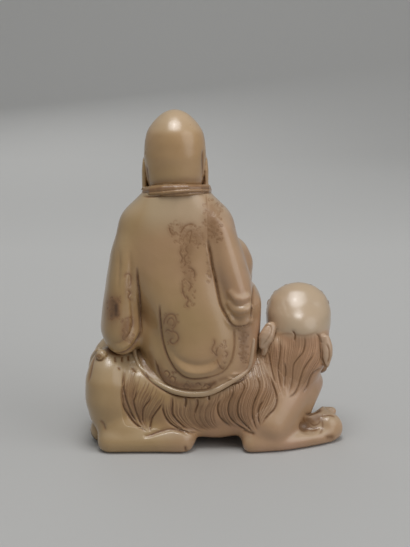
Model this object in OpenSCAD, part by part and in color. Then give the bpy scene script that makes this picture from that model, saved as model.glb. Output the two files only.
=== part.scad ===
// Carved soapstone statuette: a robed monk seated on a crouching lion.
// Millimetres. +X is the way the lion's body points, +Y the way both faces look, +Z is up.
// The origin is on the floor, at the middle of the figure's box.

/* [Overall] */
// Length from the rump to the tip of the right forepaw
statue_length = 94; // [90:1:100]
// Depth from the right hind foot to the lion's nose
statue_depth = 42; // [40:1:46]

/* [Lion trunk] */
// Distance of the breast from the tip of the right forepaw
breast_inset = 7; // [4:0.5:10]
// Width across the flanks
trunk_width = 30; // [28:1:32]
// Height of the back under the rider
back_height = 36; // [34:1:38]
// Clear height under the belly
belly_clearance = 4; // [3:0.5:6]
// How far the flank fur stands out from the trunk
fur_relief = 3.5; // [2.5:0.5:4.5]
// Length of the fur along each flank
fur_length = 48; // [42:1:52]
// Thickness of the tail
tail_thickness = 4.4; // [3.6:0.2:5.6]
// Diameter of the bead at the tail's curled tip
bead_diameter = 5; // [4:0.5:6]

/* [Lion legs] */
// Length of each thigh along the body
thigh_length = 17; // [15:1:19]
// Thickness of each thigh across the body
thigh_depth = 23; // [21:1:25]
// Height of each thigh above the floor
thigh_height = 36; // [33:1:38]
// Length of each hind foot from heel to toes
hind_foot_length = 35; // [32:1:38]
// Width of each hind foot
hind_foot_width = 10; // [9:0.5:12]
// Height of each hind foot
hind_foot_height = 9; // [8:0.5:10]
// Distance of the right heel from the end of the rump
heel_inset = 4.6; // [3:0.2:7]
// How far the left foot lies on the far side of the middle
left_foot_offset = 13.5; // [12:0.5:15]
// Thickness of the forearms
foreleg_thickness = 10.5; // [9:0.5:12]
// Width of each forepaw
forepaw_width = 10.8; // [9:0.2:12]
// Height of each forepaw
forepaw_height = 10; // [8:0.5:12]

/* [Lion head] */
// Width of the domed skull
skull_width = 24; // [22:0.5:26]
// Depth of the skull from nape to face
skull_depth = 27; // [25:0.5:28]
// Height of the skull from jaw to crown
skull_height = 29; // [27:0.5:32]
// Height of the jaw above the floor
jaw_height = 28; // [26:0.5:30]
// Distance of the skull's middle from the tip of the right forepaw
skull_inset = 16.6; // [15:0.2:18]
// Width of the muzzle
muzzle_width = 16; // [13:0.5:18]
// Depth of the muzzle, with the part inside the skull
muzzle_depth = 14; // [12:0.5:16]
// Height of the muzzle
muzzle_height = 11; // [9:0.5:13]
// Length of each ear
lion_ear_length = 10; // [8:0.5:12]
// Width of each ear
lion_ear_width = 5.4; // [4.6:0.2:6]
// Thickness of each ear
lion_ear_thickness = 3.4; // [2.8:0.2:4]
// Width of the mane across the nape
mane_width = 26; // [23:0.5:28]
// Length of the mane from the skull to its tip
mane_length = 28; // [25:0.5:31]
// Depth of the mane from the nape inwards
mane_depth = 20; // [18:0.5:22]
// Diameter of a brow curl
brow_curl_diameter = 5; // [4.2:0.2:6]
// Number of brow curls
brow_curls = 9; // [7:1:11]
// Diameter of a beard curl
beard_curl_diameter = 6.4; // [5:0.2:7.6]
// Number of beard curls
beard_curls = 8; // [6:1:10]

/* [Monk] */
// Distance of the monk's axis behind the middle of the figure
monk_setback = 14; // [12:1:16]
// Height of the collar at the nape
neck_height = 92; // [88:1:96]
// Height of the head, with the part of the neck that the robe holds
head_height = 32; // [29:1:35]
// Width of the head
head_width = 22.2; // [20:0.2:24]
// Depth of the head from back to face
head_depth = 24.4; // [22:0.2:27]
// Length of the ears with their lobes
monk_ear_length = 15; // [12:0.5:17]
// Thickness of the ears
monk_ear_thickness = 2.4; // [2:0.2:3]
// Height of a knee
knee_height = 16; // [13:0.5:18]
// Length of a hand
hand_length = 12; // [10:0.5:14]
// Thickness of a hand
hand_thickness = 5; // [4:0.5:6]

/* [Robe] */
// Width of the mantle across the shoulders
shoulder_width = 44; // [41:1:47]
// Depth of the mantle from back to breast
mantle_depth = 33; // [31:1:35]
// Height of the mantle's rounded hem above the floor
mantle_hem_height = 26; // [25:0.5:28]
// Height of the collar band
collar_width = 4.2; // [3.6:0.2:5.2]
// Thickness of the collar band
collar_thickness = 2.8; // [2.4:0.2:3.4]
// Width of the skirt over the lion's back
skirt_width = 45; // [43:1:47]
// Depth of the skirt from back to front
skirt_depth = 32; // [30:1:34]
// Height of the skirt's hem above the floor
skirt_hem_height = 21.5; // [20:0.5:23]
// Height of the skirt's gathered top
skirt_top_height = 58; // [55:1:61]
// Width of the left sleeve
left_sleeve_width = 16; // [14.5:0.5:17.5]
// Height of the left sleeve's rounded end above the floor
left_sleeve_end = 34.5; // [32:0.5:37]
// Width of the right sleeve
right_sleeve_width = 13; // [11.5:0.5:14.5]
// Height of the right sleeve's rounded end above the floor
right_sleeve_end = 45.5; // [43:0.5:48]
// Depth of the sleeves from back to front
sleeve_depth = 30; // [28:1:32]
// Thickness of the sleeved forearms
forearm_thickness = 14; // [12:0.5:16]

/* [Hidden] */

// Stone colours: polished skin, robe, lion and its stained fur
skin_stone = [0.72, 0.63, 0.50];
robe_stone = [0.68, 0.57, 0.42];
lion_stone = [0.66, 0.56, 0.43];
fur_stone = [0.55, 0.43, 0.31];

// Sides of the round forms
big_sides = 24;
small_sides = 16;
curl_sides = 10;

// Half sizes and places that several forms share
half_length = statue_length / 2;
trunk_length = statue_length - breast_inset;
half_depth = statue_depth / 2;
trunk_mid = (back_height + belly_clearance) / 2;
trunk_half_height = (back_height - belly_clearance) / 2;
monk_x = -monk_setback;
skull_x = half_length - skull_inset;
skull_y = half_depth * 0.19;
neck_tuck = 4;
head_base = neck_height - neck_tuck;
sole_cut = 1.6;
lap_height = back_height + knee_height * 0.94;

// Profiles: rows of [height share, x shift, y shift, half width share, half depth share]
trunk_profile = [
    [0, 0, 0, 0.15, 0.12], [0.03, 0, 0, 0.58, 0.5], [0.1, 0, 0, 0.9, 0.84], [0.22, 0, 0, 1, 1],
    [0.6, 0, 0, 1, 1], [0.75, 0, 0, 0.97, 0.94], [0.88, 0.08, 0, 0.9, 0.8], [0.96, 0.12, 0, 0.64, 0.55],
    [1, 0.14, 0, 0.2, 0.2]
];
haunch_profile = [
    [0.1, 0.45, -0.1, 0.6, 0.56], [0.25, 0.18, 0, 0.94, 0.83], [0.48, 0, 0, 1, 1], [0.7, 0, 0, 0.97, 0.95],
    [0.86, 0.05, 0.05, 0.8, 0.75], [0.95, 0.06, 0.1, 0.52, 0.5], [1, 0.08, 0.1, 0.15, 0.15]
];
skull_profile = [
    [0, 0, 0.37, 0.5, 0.42], [0.1, 0, 0.32, 0.77, 0.67], [0.28, 0, 0, 0.91, 0.96],
    [0.48, 0, -0.07, 0.98, 1], [0.66, 0, -0.03, 0.99, 0.89], [0.83, 0, -0.02, 0.84, 0.64],
    [0.94, 0, -0.03, 0.55, 0.38], [0.99, 0, -0.02, 0.25, 0.17], [1, 0, -0.02, 0.06, 0.05]
];
mane_profile = [
    [0, -0.15, -0.4, 0.12, 0.5], [0.1, -0.13, -0.3, 0.4, 0.75], [0.29, -0.08, -0.15, 0.8, 0.95],
    [0.5, 0, -0.05, 1, 1.02], [0.75, 0.05, 0.05, 1, 1], [0.9, 0.15, 0.15, 0.86, 0.85],
    [1, 0.2, 0.25, 0.6, 0.6]
];
head_profile = [
    [0, 0, -0.05, 0.8, 0.68], [0.16, 0, 0, 0.87, 0.82], [0.31, 0, 0.03, 0.95, 0.94], [0.5, 0, 0.04, 1, 1],
    [0.66, 0, 0.03, 0.96, 0.96], [0.77, 0, 0.01, 0.88, 0.88], [0.87, 0, 0, 0.68, 0.68],
    [0.95, 0, 0, 0.43, 0.43], [0.985, 0, 0, 0.23, 0.23], [1, 0, 0, 0.06, 0.06]
];
mantle_profile = [
    [0, 0.36, -0.8, 0.25, 0.45], [0.02, 0.36, -0.52, 0.4, 0.74], [0.06, 0.37, -0.37, 0.54, 0.89],
    [0.13, 0.38, -0.26, 0.67, 0.99], [0.24, 0.36, -0.18, 0.74, 1.0], [0.39, 0.2, -0.13, 0.83, 0.97],
    [0.56, 0, -0.07, 0.9, 0.92], [0.73, 0, -0.03, 0.98, 0.85], [0.84, 0, -0.02, 0.9, 0.77],
    [0.89, 0, -0.02, 0.77, 0.71], [0.93, 0, -0.02, 0.64, 0.66], [0.97, 0, -0.02, 0.52, 0.6],
    [1, 0, -0.03, 0.43, 0.53]
];
skirt_profile = [
    [0, -0.06, -0.81, 0.28, 0.38], [0.03, -0.05, -0.55, 0.45, 0.66], [0.08, -0.03, -0.38, 0.62, 0.84],
    [0.16, 0, -0.26, 0.78, 0.94], [0.27, 0.02, -0.2, 0.9, 0.96], [0.42, 0.01, -0.15, 0.96, 0.96],
    [0.62, 0, -0.11, 0.99, 0.93], [0.84, 0, -0.08, 1, 0.89], [1, -0.04, -0.05, 0.93, 0.83]
];
left_sleeve_profile = [
    [0, 0, -0.33, 0.35, 0.6], [0.04, -0.04, -0.28, 0.75, 0.81], [0.16, -0.1, -0.18, 0.98, 0.98],
    [0.33, -0.1, -0.14, 0.88, 1], [0.54, 0.02, -0.09, 0.8, 0.95], [0.75, 0.25, -0.04, 0.82, 0.84],
    [0.92, 0.56, -0.03, 0.8, 0.7], [1, 0.75, -0.03, 0.45, 0.5]
];
right_sleeve_profile = [
    [0, 0.65, -0.6, 0.55, 0.4], [0.04, 0.62, -0.52, 0.85, 0.61], [0.15, 0.55, -0.46, 0.97, 0.71],
    [0.29, 0.35, -0.42, 1, 0.72], [0.47, 0, -0.36, 1, 0.72], [0.66, -0.29, -0.28, 0.9, 0.7],
    [0.84, -0.58, -0.2, 0.78, 0.68], [0.95, -0.85, -0.14, 0.5, 0.64], [1, -0.92, -0.1, 0.25, 0.5]
];

// Paths: rows of [x share, y share, z share, half side share, half up share]
flank_path = [[0, 0, 0.16, 1, 1], [0.3, 0, 0, 1, 1], [0.8, 0, 0.04, 1, 1], [1.05, -0.76, 0.2, 0.96, 0.9]];
// Grooves between the main locks of fur: shares of the fur's length, at these angles round its section
lock_angles = [34, 0, -30, -50];
lock_grooves = [
    [0.16, 0.09, 0.08, 0.1], [0.24, 0.2, 0.15, 0.14], [0.3, 0.3, 0.35, 0.42], [0.4, 0.4, 0.44, 0.52],
    [0.48, 0.48, 0.5, 0.57], [0.66, 0.64, 0.69, 0.77], [0.83, 0.78, 0.82, 0.87], [0.94, 0.9, 0.9, 0.92]
];
// Half width and depth of such a groove
lock_groove = [0.8, 0.9];
tail_path = [
    [1, 0.2, -0.31, 1, 1], [1, 0.1, 0.19, 1, 1], [1.6, -0.05, 0.62, 1, 1], [2.6, -0.3, 0.84, 1, 1]
];
hind_foot_path = [[0, 0, 0, 1, 1], [0.37, 0, 0, 0.94, 0.94], [0.7, 0, 0, 0.94, 0.95], [1, 0, 0, 1, 1]];
lion_ear_path = [
    [0, 0, 0, 0.66, 0.8], [0.1, 0.35, -0.3, 1, 1], [0.5, 0.8, -0.65, 0.9, 1], [1, 1, -1, 0.36, 0.7]
];
collar_path = [
    [0.5, 0.86, -1.53, 1, 1], [0, 0.84, -1, 1, 1], [-0.66, 0.7, -0.5, 1, 1], [-1.03, 0.15, -0.17, 1, 1],
    [-0.76, -0.44, 0.01, 1, 1], [0, -0.64, 0.07, 1, 1], [0.76, -0.44, 0.03, 1, 1], [1.03, 0.15, -0.08, 1, 1],
    [0.7, 0.7, -0.48, 1, 1]
];
forearm_path = [[0.84, 0.3, 0, 0.85, 1], [0.93, 0.48, -0.58, 0.95, 1.1], [0.41, 0.68, -0.97, 0.85, 0.9]];
monk_ear_path = [[-0.5, 0.07, 0, 1, 2], [0, 0.07, -0.4, 1, 2.4], [0, 0.1, -1, 1, 1.6]];
hand_path = [[0.5, -0.8, 0, 1.4, 1], [0, 0, 0, 1.5, 1], [-0.5, 0, -0.2, 1, 0.8]];
thigh_path = [[0.2, 0.19, 0, 0.94, 0.94], [0.7, 0.4, 0, 1, 1], [1, 0.54, -0.12, 0.86, 0.86]];
shin_path = [[0.97, -0.37, -0.3, 1, 1], [0.43, 0, -0.35, 0.95, 0.95], [-0.16, 0, -0.4, 0.8, 0.8]];

// A point on the smooth curve from b to c, where a and d are the points before and after
function spline(a, b, c, d, t) =
    0.5 * (2 * b + (c - a) * t + (2 * a - 5 * b + 4 * c - d) * t * t + (3 * b - a - 3 * c + d) * t * t * t);

// Rows of numbers, with smooth rows filled in between them
function filled(rows, steps) = concat(
    [for (i = [0:len(rows) - 2], s = [0:steps - 1])
        spline(rows[max(i - 1, 0)], rows[i], rows[i + 1], rows[min(i + 2, len(rows) - 1)], s / steps)],
    [rows[len(rows) - 1]]
);

// A profile at its real place and size: base is its foot, size its half width, half depth and height
function placed(profile, base, size) = [
    for (r = profile) [
        base[2] + r[0] * size[2],
        base[0] + r[1] * size[0],
        base[1] + r[2] * size[1],
        r[3] * size[0],
        r[4] * size[1]
    ]
];

// A path at its real place and size: thick is its half side and half up
function traced(path, base, size, thick) = [
    for (r = path) [
        base[0] + r[0] * size[0],
        base[1] + r[1] * size[1],
        base[2] + r[2] * size[2],
        r[3] * thick[0],
        r[4] * thick[1]
    ]
];

// Outline of a slice: an ellipse whose sides are a little squared
function slice_outline(half_x, half_y, power) = [
    for (i = [0:big_sides - 1])
        let (c = cos(360 * i / big_sides), s = sin(360 * i / big_sides))
            [half_x * sign(c) * pow(abs(c), 2 / power), half_y * sign(s) * pow(abs(s), 2 / power)]
];

// A round form of horizontal slices, each [z, x, y, half width, half depth]
module stack(slices, power = 2.2, steps = 1) {
    skin = 0.01;
    rows = filled(slices, steps);
    module layer(r) {
        translate([r[1], r[2], r[0]])
            linear_extrude(skin)
                polygon(slice_outline(r[3], r[4], power));
    }
    for (i = [0:len(rows) - 2])
        hull() {
            layer(rows[i]);
            layer(rows[i + 1]);
        }
}

function unit(v) = v / norm(v);
function centre(row) = [row[0], row[1], row[2]];
function heading(rows, i) = unit(centre(rows[min(i + 1, len(rows) - 1)]) - centre(rows[max(i - 1, 0)]));

// Ring of points square to a path, with half sizes along the side vector and the vector above it
function ring(at, ahead, up, half_side, half_up, sides) =
    let (side = unit(cross(up, ahead)), above = cross(ahead, side))
        [for (j = [0:sides - 1])
            at + side * half_side * cos(360 * j / sides) + above * half_up * sin(360 * j / sides)];

// A round form along a path of rows [x, y, z, half side, half up], with domed ends
module sweep(path, up = [0, 0, 1], dome = 0.8, steps = 2, sides = small_sides) {
    dome_rings = 2;
    rows = filled(path, steps);
    last = len(rows) - 1;
    start_reach = dome * min(rows[0][3], rows[0][4]);
    end_reach = dome * min(rows[last][3], rows[last][4]);
    function dome_ring(i, way, reach, angle) = ring(
        centre(rows[i]) + heading(rows, i) * way * reach * sin(angle),
        heading(rows, i), up, rows[i][3] * cos(angle), rows[i][4] * cos(angle), sides
    );
    angles = [for (k = [1:dome_rings]) 90 * k / (dome_rings + 1)];
    rings = concat(
        [for (k = [dome_rings - 1:-1:0]) dome_ring(0, -1, start_reach, angles[k])],
        [for (i = [0:last]) ring(centre(rows[i]), heading(rows, i), up, rows[i][3], rows[i][4], sides)],
        [for (a = angles) dome_ring(last, 1, end_reach, a)]
    );
    count = len(rings);
    start_tip = centre(rows[0]) - heading(rows, 0) * start_reach;
    end_tip = centre(rows[last]) + heading(rows, last) * end_reach;
    points = concat([for (r = rings) each r], [start_tip, end_tip]);
    function at(i, j) = i * sides + j % sides;
    polyhedron(points, concat(
        [for (i = [0:count - 2], j = [0:sides - 1]) [at(i, j), at(i + 1, j), at(i + 1, j + 1)]],
        [for (i = [0:count - 2], j = [0:sides - 1]) [at(i, j), at(i + 1, j + 1), at(i, j + 1)]],
        [for (j = [0:sides - 1]) [at(0, j), at(0, j + 1), count * sides]],
        [for (j = [0:sides - 1]) [at(count - 1, j + 1), at(count - 1, j), count * sides + 1]]
    ));
}

module ellipsoid(at, half) {
    translate(at)
        scale(half)
            sphere(1, $fn = small_sides);
}

// Keeps what is above the floor
module on_floor() {
    intersection() {
        children();
        translate([-statue_length, -statue_length, 0])
            cube(2 * statue_length);
    }
}

// Lion: trunk and fur
module trunk_form() {
    translate([-half_length, 0, trunk_mid])
        rotate([0, 90, 0])
            stack(placed(trunk_profile, [0, 0, 0], [trunk_half_height, trunk_width / 2, trunk_length]),
                power = 2);
}

fur_half_thick = trunk_width * 0.27;
fur_half_tall = trunk_half_height * 0.76;
above_belly = 0.6;
function fur_base(way) = [
    -fur_length * 0.62,
    way * (trunk_width / 2 + fur_relief - fur_half_thick),
    belly_clearance + fur_half_tall + above_belly
];

module flank_fur_form(way) {
    size = [fur_length, way * fur_relief, fur_half_tall];
    sweep(traced(flank_path, fur_base(way), size, [fur_half_thick, fur_half_tall]), dome = 0.5);
}

module fur_grooves(way) {
    function shift(share, column) = lookup(share, [for (r = flank_path) [r[0], r[column]]]);
    function lock_row(share, angle) = concat(
        fur_base(way) + [
            share * fur_length,
            way * (shift(share, 1) * fur_relief + fur_half_thick * cos(angle)),
            fur_half_tall * (shift(share, 2) + sin(angle))
        ],
        lock_groove
    );
    for (shares = lock_grooves)
        sweep([for (i = [0:len(shares) - 1]) lock_row(shares[i], lock_angles[i])], up = [0, 1, 0], sides = 4);
}

module tail_form() {
    half = tail_thickness / 2;
    size = [half, half_depth, trunk_half_height];
    sweep(traced(tail_path, [-half_length, 0, trunk_mid], size, [half, half]), up = [0, 1, 0]);
}

module tail_bead_form() {
    x = -half_length + tail_thickness * 1.5;
    translate([x, -half_depth * 0.57, trunk_mid + trunk_half_height * 0.86])
        sphere(bead_diameter / 2, $fn = small_sides);
}

// Lion: legs
module haunch_form(y) {
    stack(placed(haunch_profile, [-half_length + thigh_length / 2, y, 0],
        [thigh_length / 2, thigh_depth / 2, thigh_height]));
}

thigh_inset = 1;
right_thigh_y = -half_depth + thigh_depth / 2 + thigh_inset;
left_thigh_y = left_foot_offset - hind_foot_width * 0.55;
module right_haunch_form() haunch_form(right_thigh_y);
module left_haunch_form() haunch_form(left_thigh_y);

module hind_foot_form(heel_x, y) {
    half = hind_foot_width / 2;
    half_up = (hind_foot_height + sole_cut) / 2;
    z = hind_foot_height - half_up;
    dome = 0.9;
    reach = dome * min(half, half_up);
    length = hind_foot_length - 2 * reach;
    sweep(traced(hind_foot_path, [heel_x + reach, y, z], [length, 0, 0], [half, half_up]), dome = dome);
}

module right_hind_foot_form() {
    on_floor()
        hind_foot_form(-half_length + heel_inset, -half_depth + hind_foot_width / 2);
}

left_heel_inset = 0.6;
module left_hind_foot_form() {
    on_floor()
        hind_foot_form(-half_length + left_heel_inset, left_foot_offset);
}

// Joints of the forelegs: the right one reaches out along the near side, the left one along the far side
half_fore = foreleg_thickness / 2;
paw_z = forepaw_height - (forepaw_height + sole_cut) / 2;
elbow_z = half_fore * 0.94;
right_shoulder = [skull_x - skull_width * 0.105, -half_depth * 0.14, back_height * 0.72];
right_elbow = [skull_x - skull_width * 0.685, -half_depth + half_fore * 1.19, elbow_z];
right_paw = [half_length - forepaw_width / 2, -half_depth * 0.18, paw_z];
right_wrist = right_paw - forepaw_width * [0.89, 0.34, 0];
left_shoulder = [skull_x - skull_width * 0.2, half_depth * 0.38, back_height * 0.56];
left_elbow = [skull_x - skull_width * 0.58, half_depth * 0.52, elbow_z];
left_paw = [skull_x, half_depth - forepaw_width * 0.59, paw_z];
left_wrist = left_paw - forepaw_width * [0.83, 0.23, 0];

// Half sizes of the foreleg at the shoulder, middle and elbow, then at the elbow, middle and wrist
upper_halves = [[2, 1.71], [2, 1.64], [1.6, 1.33]];
lower_halves = [[1.08, 1], [0.95, 1], [0.86, 0.92]];

module foreleg_form(shoulder, elbow, wrist) {
    elbow_inner = elbow + half_fore * [0.76, 0, 0.48];
    upper_middle = (shoulder + elbow) / 2 + half_fore * [0.29, 0, 0];
    upper = [shoulder, upper_middle, elbow_inner];
    lower = [elbow, (elbow + wrist) / 2, wrist];
    on_floor() {
        sweep([for (i = [0:2]) concat(upper[i], half_fore * upper_halves[i])], up = [0, 1, 0], dome = 0.6);
        sweep([for (i = [0:2]) concat(lower[i], half_fore * lower_halves[i])], dome = 0.95);
    }
}

module right_foreleg_form() foreleg_form(right_shoulder, right_elbow, right_wrist);
module left_foreleg_form() foreleg_form(left_shoulder, left_elbow, left_wrist);

module forepaw_form(wrist, paw) {
    half_up = (forepaw_height + sole_cut) / 2;
    on_floor()
        hull() {
            ellipsoid(wrist + half_fore * [0.38, 0.38, 0],
                [half_fore * 0.8, half_fore * 0.8, half_up * 0.9]);
            ellipsoid(paw, [forepaw_width / 2, forepaw_width / 2, half_up]);
        }
}

module right_forepaw_form() forepaw_form(right_wrist, right_paw);
module left_forepaw_form() forepaw_form(left_wrist, left_paw);

// Lion: head
module skull_form() {
    stack(placed(skull_profile, [skull_x, skull_y, jaw_height],
        [skull_width / 2, skull_depth / 2, skull_height]));
}

module muzzle_form() {
    ellipsoid([skull_x, half_depth - muzzle_depth / 2, jaw_height + skull_height * 0.28],
        [muzzle_width / 2, muzzle_depth / 2, muzzle_height / 2]);
}

module mane_form() {
    stack(placed(mane_profile,
        [skull_x - skull_width * 0.09, -half_depth * 0.14, jaw_height + skull_height * 0.59 - mane_length],
        [mane_width / 2, mane_depth / 2, mane_length]));
}

module lion_ear_form(top, lean) {
    size = [lean[0], lean[1], lion_ear_length];
    sweep(traced(lion_ear_path, top, size, [lion_ear_width / 2, lion_ear_thickness / 2]), up = [0, 1, 0]);
}

left_ear_top = [skull_x - skull_width * 0.43, -half_depth * 0.26, jaw_height + skull_height * 0.54];
right_ear_top = [skull_x + skull_width * 0.36, -half_depth * 0.39, jaw_height + skull_height * 0.4];
module lion_left_ear_form() lion_ear_form(left_ear_top, lion_ear_length * [-0.29, -0.37]);
module lion_right_ear_form() lion_ear_form(right_ear_top, lion_ear_length * [0.06, -0.16]);

// A row of curls on an arc round the face: reach is its half width and half height, arc its two angles
module curl_row(middle, reach, arc, count, diameter) {
    for (i = [0:count - 1])
        let (a = arc[0] + (arc[1] - arc[0]) * i / (count - 1))
            translate(middle + [reach[0] * cos(a), 0, reach[1] * sin(a)])
                sphere(diameter / 2, $fn = curl_sides);
}

curls_y = skull_y + skull_depth * 0.19;
brow_arc = [-8, 188];
beard_arc = [190, 350];
module brow_curls_form() {
    curl_row([skull_x, curls_y, jaw_height + skull_height * 0.6],
        [skull_width * 0.4, skull_height * 0.28], brow_arc, brow_curls, brow_curl_diameter);
}

module beard_form() {
    curl_row([skull_x, curls_y, jaw_height + skull_height * 0.07],
        [skull_width * 0.52, skull_height * 0.36], beard_arc, beard_curls, beard_curl_diameter);
}

// Monk: robe
mantle_neck = 1.5;
mantle_height = neck_height + mantle_neck - mantle_hem_height;
module mantle_form() {
    stack(placed(mantle_profile, [monk_x, 0, mantle_hem_height],
        [shoulder_width / 2, mantle_depth / 2, mantle_height]), power = 2.6, steps = 2);
}

module skirt_form() {
    stack(placed(skirt_profile, [monk_x + skirt_width * 0.18, 0, skirt_hem_height],
        [skirt_width / 2, skirt_depth / 2, skirt_top_height - skirt_hem_height]), power = 2.8);
}

left_sleeve_drop = 10;
left_sleeve_top = neck_height - left_sleeve_drop;
module left_sleeve_form() {
    stack(placed(left_sleeve_profile, [monk_x - shoulder_width * 0.43, 0, left_sleeve_end],
        [left_sleeve_width / 2, sleeve_depth / 2, left_sleeve_top - left_sleeve_end]));
}

right_sleeve_drop = 5.5;
right_sleeve_top = neck_height - right_sleeve_drop;
module right_sleeve_form() {
    stack(placed(right_sleeve_profile, [monk_x + shoulder_width * 0.43, 0, right_sleeve_end],
        [right_sleeve_width / 2, sleeve_depth / 2, right_sleeve_top - right_sleeve_end]));
}

forearm_lean = 1.5;
module forearm_form(way) {
    half = forearm_thickness / 2;
    elbow_height = neck_height * 0.74;
    base = [monk_x + forearm_lean, 0, elbow_height];
    size = [way * shoulder_width / 2, half_depth, elbow_height - lap_height];
    sweep(traced(forearm_path, base, size, [half, half]), up = [0, 1, 0]);
}

module collar_form() {
    size = [head_width * 0.53, mantle_depth / 2, mantle_height * 0.207];
    sweep(traced(collar_path, [monk_x, 0, neck_height], size, [collar_thickness / 2, collar_width / 2]),
        up = [0.1, 0.3, 1]);
}

// Monk: head, hands and knees
head_x = monk_x - head_width * 0.018;
module head_form() {
    stack(placed(head_profile, [head_x, head_depth * 0.02, head_base],
        [head_width / 2, head_depth / 2, head_height]), power = 2.1);
}

module monk_ear_form(way) {
    half = monk_ear_thickness / 2;
    base = [head_x + way * (head_width / 2 - half * 0.4), 0, head_base + head_height * 0.515];
    size = [way * half, half_depth, monk_ear_length];
    sweep(traced(monk_ear_path, base, size, [half, half]), up = [0, 1, 0]);
}

module hand_form(way) {
    half = hand_thickness / 2;
    base = [monk_x, half_depth * 0.82, lap_height + way * half * 0.75];
    sweep(traced(hand_path, base, [way * hand_length, half, half], [half, half]));
}

// A folded leg under the robe: thigh out to the knee, shin back to the middle
knee_lean = 1.5;
shin_cross = 1;
module knee_form(way) {
    half = knee_height / 2;
    shin = half * 0.68;
    reach = way * shoulder_width * 0.42;
    base = [monk_x + knee_lean, 0, back_height + half * 0.4];
    shin_base = [base[0], half_depth - shin, base[2] + way * shin_cross];
    sweep(traced(thigh_path, base, [reach, half_depth, half], [half, half]));
    sweep(traced(shin_path, shin_base, [reach, shin, knee_height * 0.75], [shin, shin]));
}

// Each carved piece: its form, less the forms that it is seated on
module lion_trunk() {
    color(lion_stone)
        difference() {
            trunk_form();
            right_hind_foot_form();
            left_hind_foot_form();
        }
}

module right_haunch() {
    color(lion_stone)
        difference() {
            right_haunch_form();
            trunk_form();
            right_hind_foot_form();
        }
}

module left_haunch() {
    color(lion_stone)
        difference() {
            left_haunch_form();
            trunk_form();
            left_hind_foot_form();
        }
}

module right_hind_foot() {
    color(lion_stone)
        right_hind_foot_form();
}

module left_hind_foot() {
    color(lion_stone)
        left_hind_foot_form();
}

module right_forepaw() {
    color(lion_stone)
        right_forepaw_form();
}

module left_forepaw() {
    color(lion_stone)
        left_forepaw_form();
}

module right_foreleg() {
    color(lion_stone)
        difference() {
            right_foreleg_form();
            trunk_form();
            right_forepaw_form();
        }
}

module left_foreleg() {
    color(lion_stone)
        difference() {
            left_foreleg_form();
            trunk_form();
            right_foreleg_form();
            left_forepaw_form();
            right_forepaw_form();
        }
}

module robe_mantle() {
    color(robe_stone)
        difference() {
            mantle_form();
            trunk_form();
        }
}

module robe_skirt() {
    color(robe_stone)
        difference() {
            skirt_form();
            trunk_form();
            mantle_form();
            lion_left_ear_form();
        }
}

module left_sleeve() {
    color(robe_stone)
        difference() {
            left_sleeve_form();
            mantle_form();
            skirt_form();
            trunk_form();
        }
}

module right_sleeve() {
    color(robe_stone)
        difference() {
            right_sleeve_form();
            mantle_form();
            skirt_form();
        }
}

module robe_body_forms() {
    mantle_form();
    skirt_form();
    left_sleeve_form();
    right_sleeve_form();
}

module left_knee() {
    color(robe_stone)
        difference() {
            knee_form(-1);
            robe_body_forms();
            trunk_form();
            left_haunch_form();
        }
}

module right_knee() {
    color(robe_stone)
        difference() {
            knee_form(1);
            knee_form(-1);
            robe_body_forms();
            trunk_form();
        }
}

module left_forearm() {
    color(robe_stone)
        difference() {
            forearm_form(-1);
            robe_body_forms();
            knee_form(-1);
            knee_form(1);
        }
}

module right_forearm() {
    color(robe_stone)
        difference() {
            forearm_form(1);
            forearm_form(-1);
            robe_body_forms();
            knee_form(-1);
            knee_form(1);
        }
}

module hand_seats() {
    robe_body_forms();
    knee_form(-1);
    knee_form(1);
    forearm_form(-1);
    forearm_form(1);
}

module left_hand() {
    color(skin_stone)
        difference() {
            hand_form(-1);
            hand_seats();
        }
}

module right_hand() {
    color(skin_stone)
        difference() {
            hand_form(1);
            hand_form(-1);
            hand_seats();
        }
}

module robe_collar() {
    color(robe_stone)
        difference() {
            collar_form();
            mantle_form();
        }
}

module monk_head() {
    color(skin_stone)
        difference() {
            head_form();
            mantle_form();
            collar_form();
        }
}

module monk_ear(way) {
    color(skin_stone)
        difference() {
            monk_ear_form(way);
            head_form();
            collar_form();
            mantle_form();
        }
}

module monk_left_ear() monk_ear(-1);
module monk_right_ear() monk_ear(1);

module right_flank_fur() {
    color(fur_stone)
        difference() {
            flank_fur_form(-1);
            fur_grooves(-1);
            trunk_form();
            right_haunch_form();
            right_hind_foot_form();
            right_foreleg_form();
            skirt_form();
            mantle_form();
            left_sleeve_form();
        }
}

module left_flank_fur() {
    color(fur_stone)
        difference() {
            flank_fur_form(1);
            fur_grooves(1);
            trunk_form();
            left_haunch_form();
            left_hind_foot_form();
            left_foreleg_form();
            skirt_form();
            knee_form(-1);
            knee_form(1);
        }
}

module lion_head() {
    color(lion_stone)
        difference() {
            skull_form();
            trunk_form();
            right_foreleg_form();
            left_foreleg_form();
            skirt_form();
        }
}

module lion_muzzle() {
    color(lion_stone)
        difference() {
            muzzle_form();
            skull_form();
        }
}

module lion_mane() {
    color(fur_stone)
        difference() {
            mane_form();
            skull_form();
            trunk_form();
            right_foreleg_form();
            left_foreleg_form();
            skirt_form();
            flank_fur_form(-1);
        }
}

module lion_left_ear() {
    color(lion_stone)
        difference() {
            lion_left_ear_form();
            skull_form();
            mane_form();
        }
}

module lion_right_ear() {
    color(lion_stone)
        difference() {
            lion_right_ear_form();
            skull_form();
            mane_form();
            trunk_form();
            right_foreleg_form();
        }
}

module lion_brow_curls() {
    color(fur_stone)
        difference() {
            brow_curls_form();
            skull_form();
            skirt_form();
        }
}

module lion_beard() {
    color(fur_stone)
        difference() {
            beard_form();
            skull_form();
            muzzle_form();
            trunk_form();
            mane_form();
            right_foreleg_form();
            left_foreleg_form();
            brow_curls_form();
            skirt_form();
        }
}

module lion_tail() {
    color(lion_stone)
        difference() {
            tail_form();
            trunk_form();
            right_haunch_form();
            left_haunch_form();
        }
}

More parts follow.
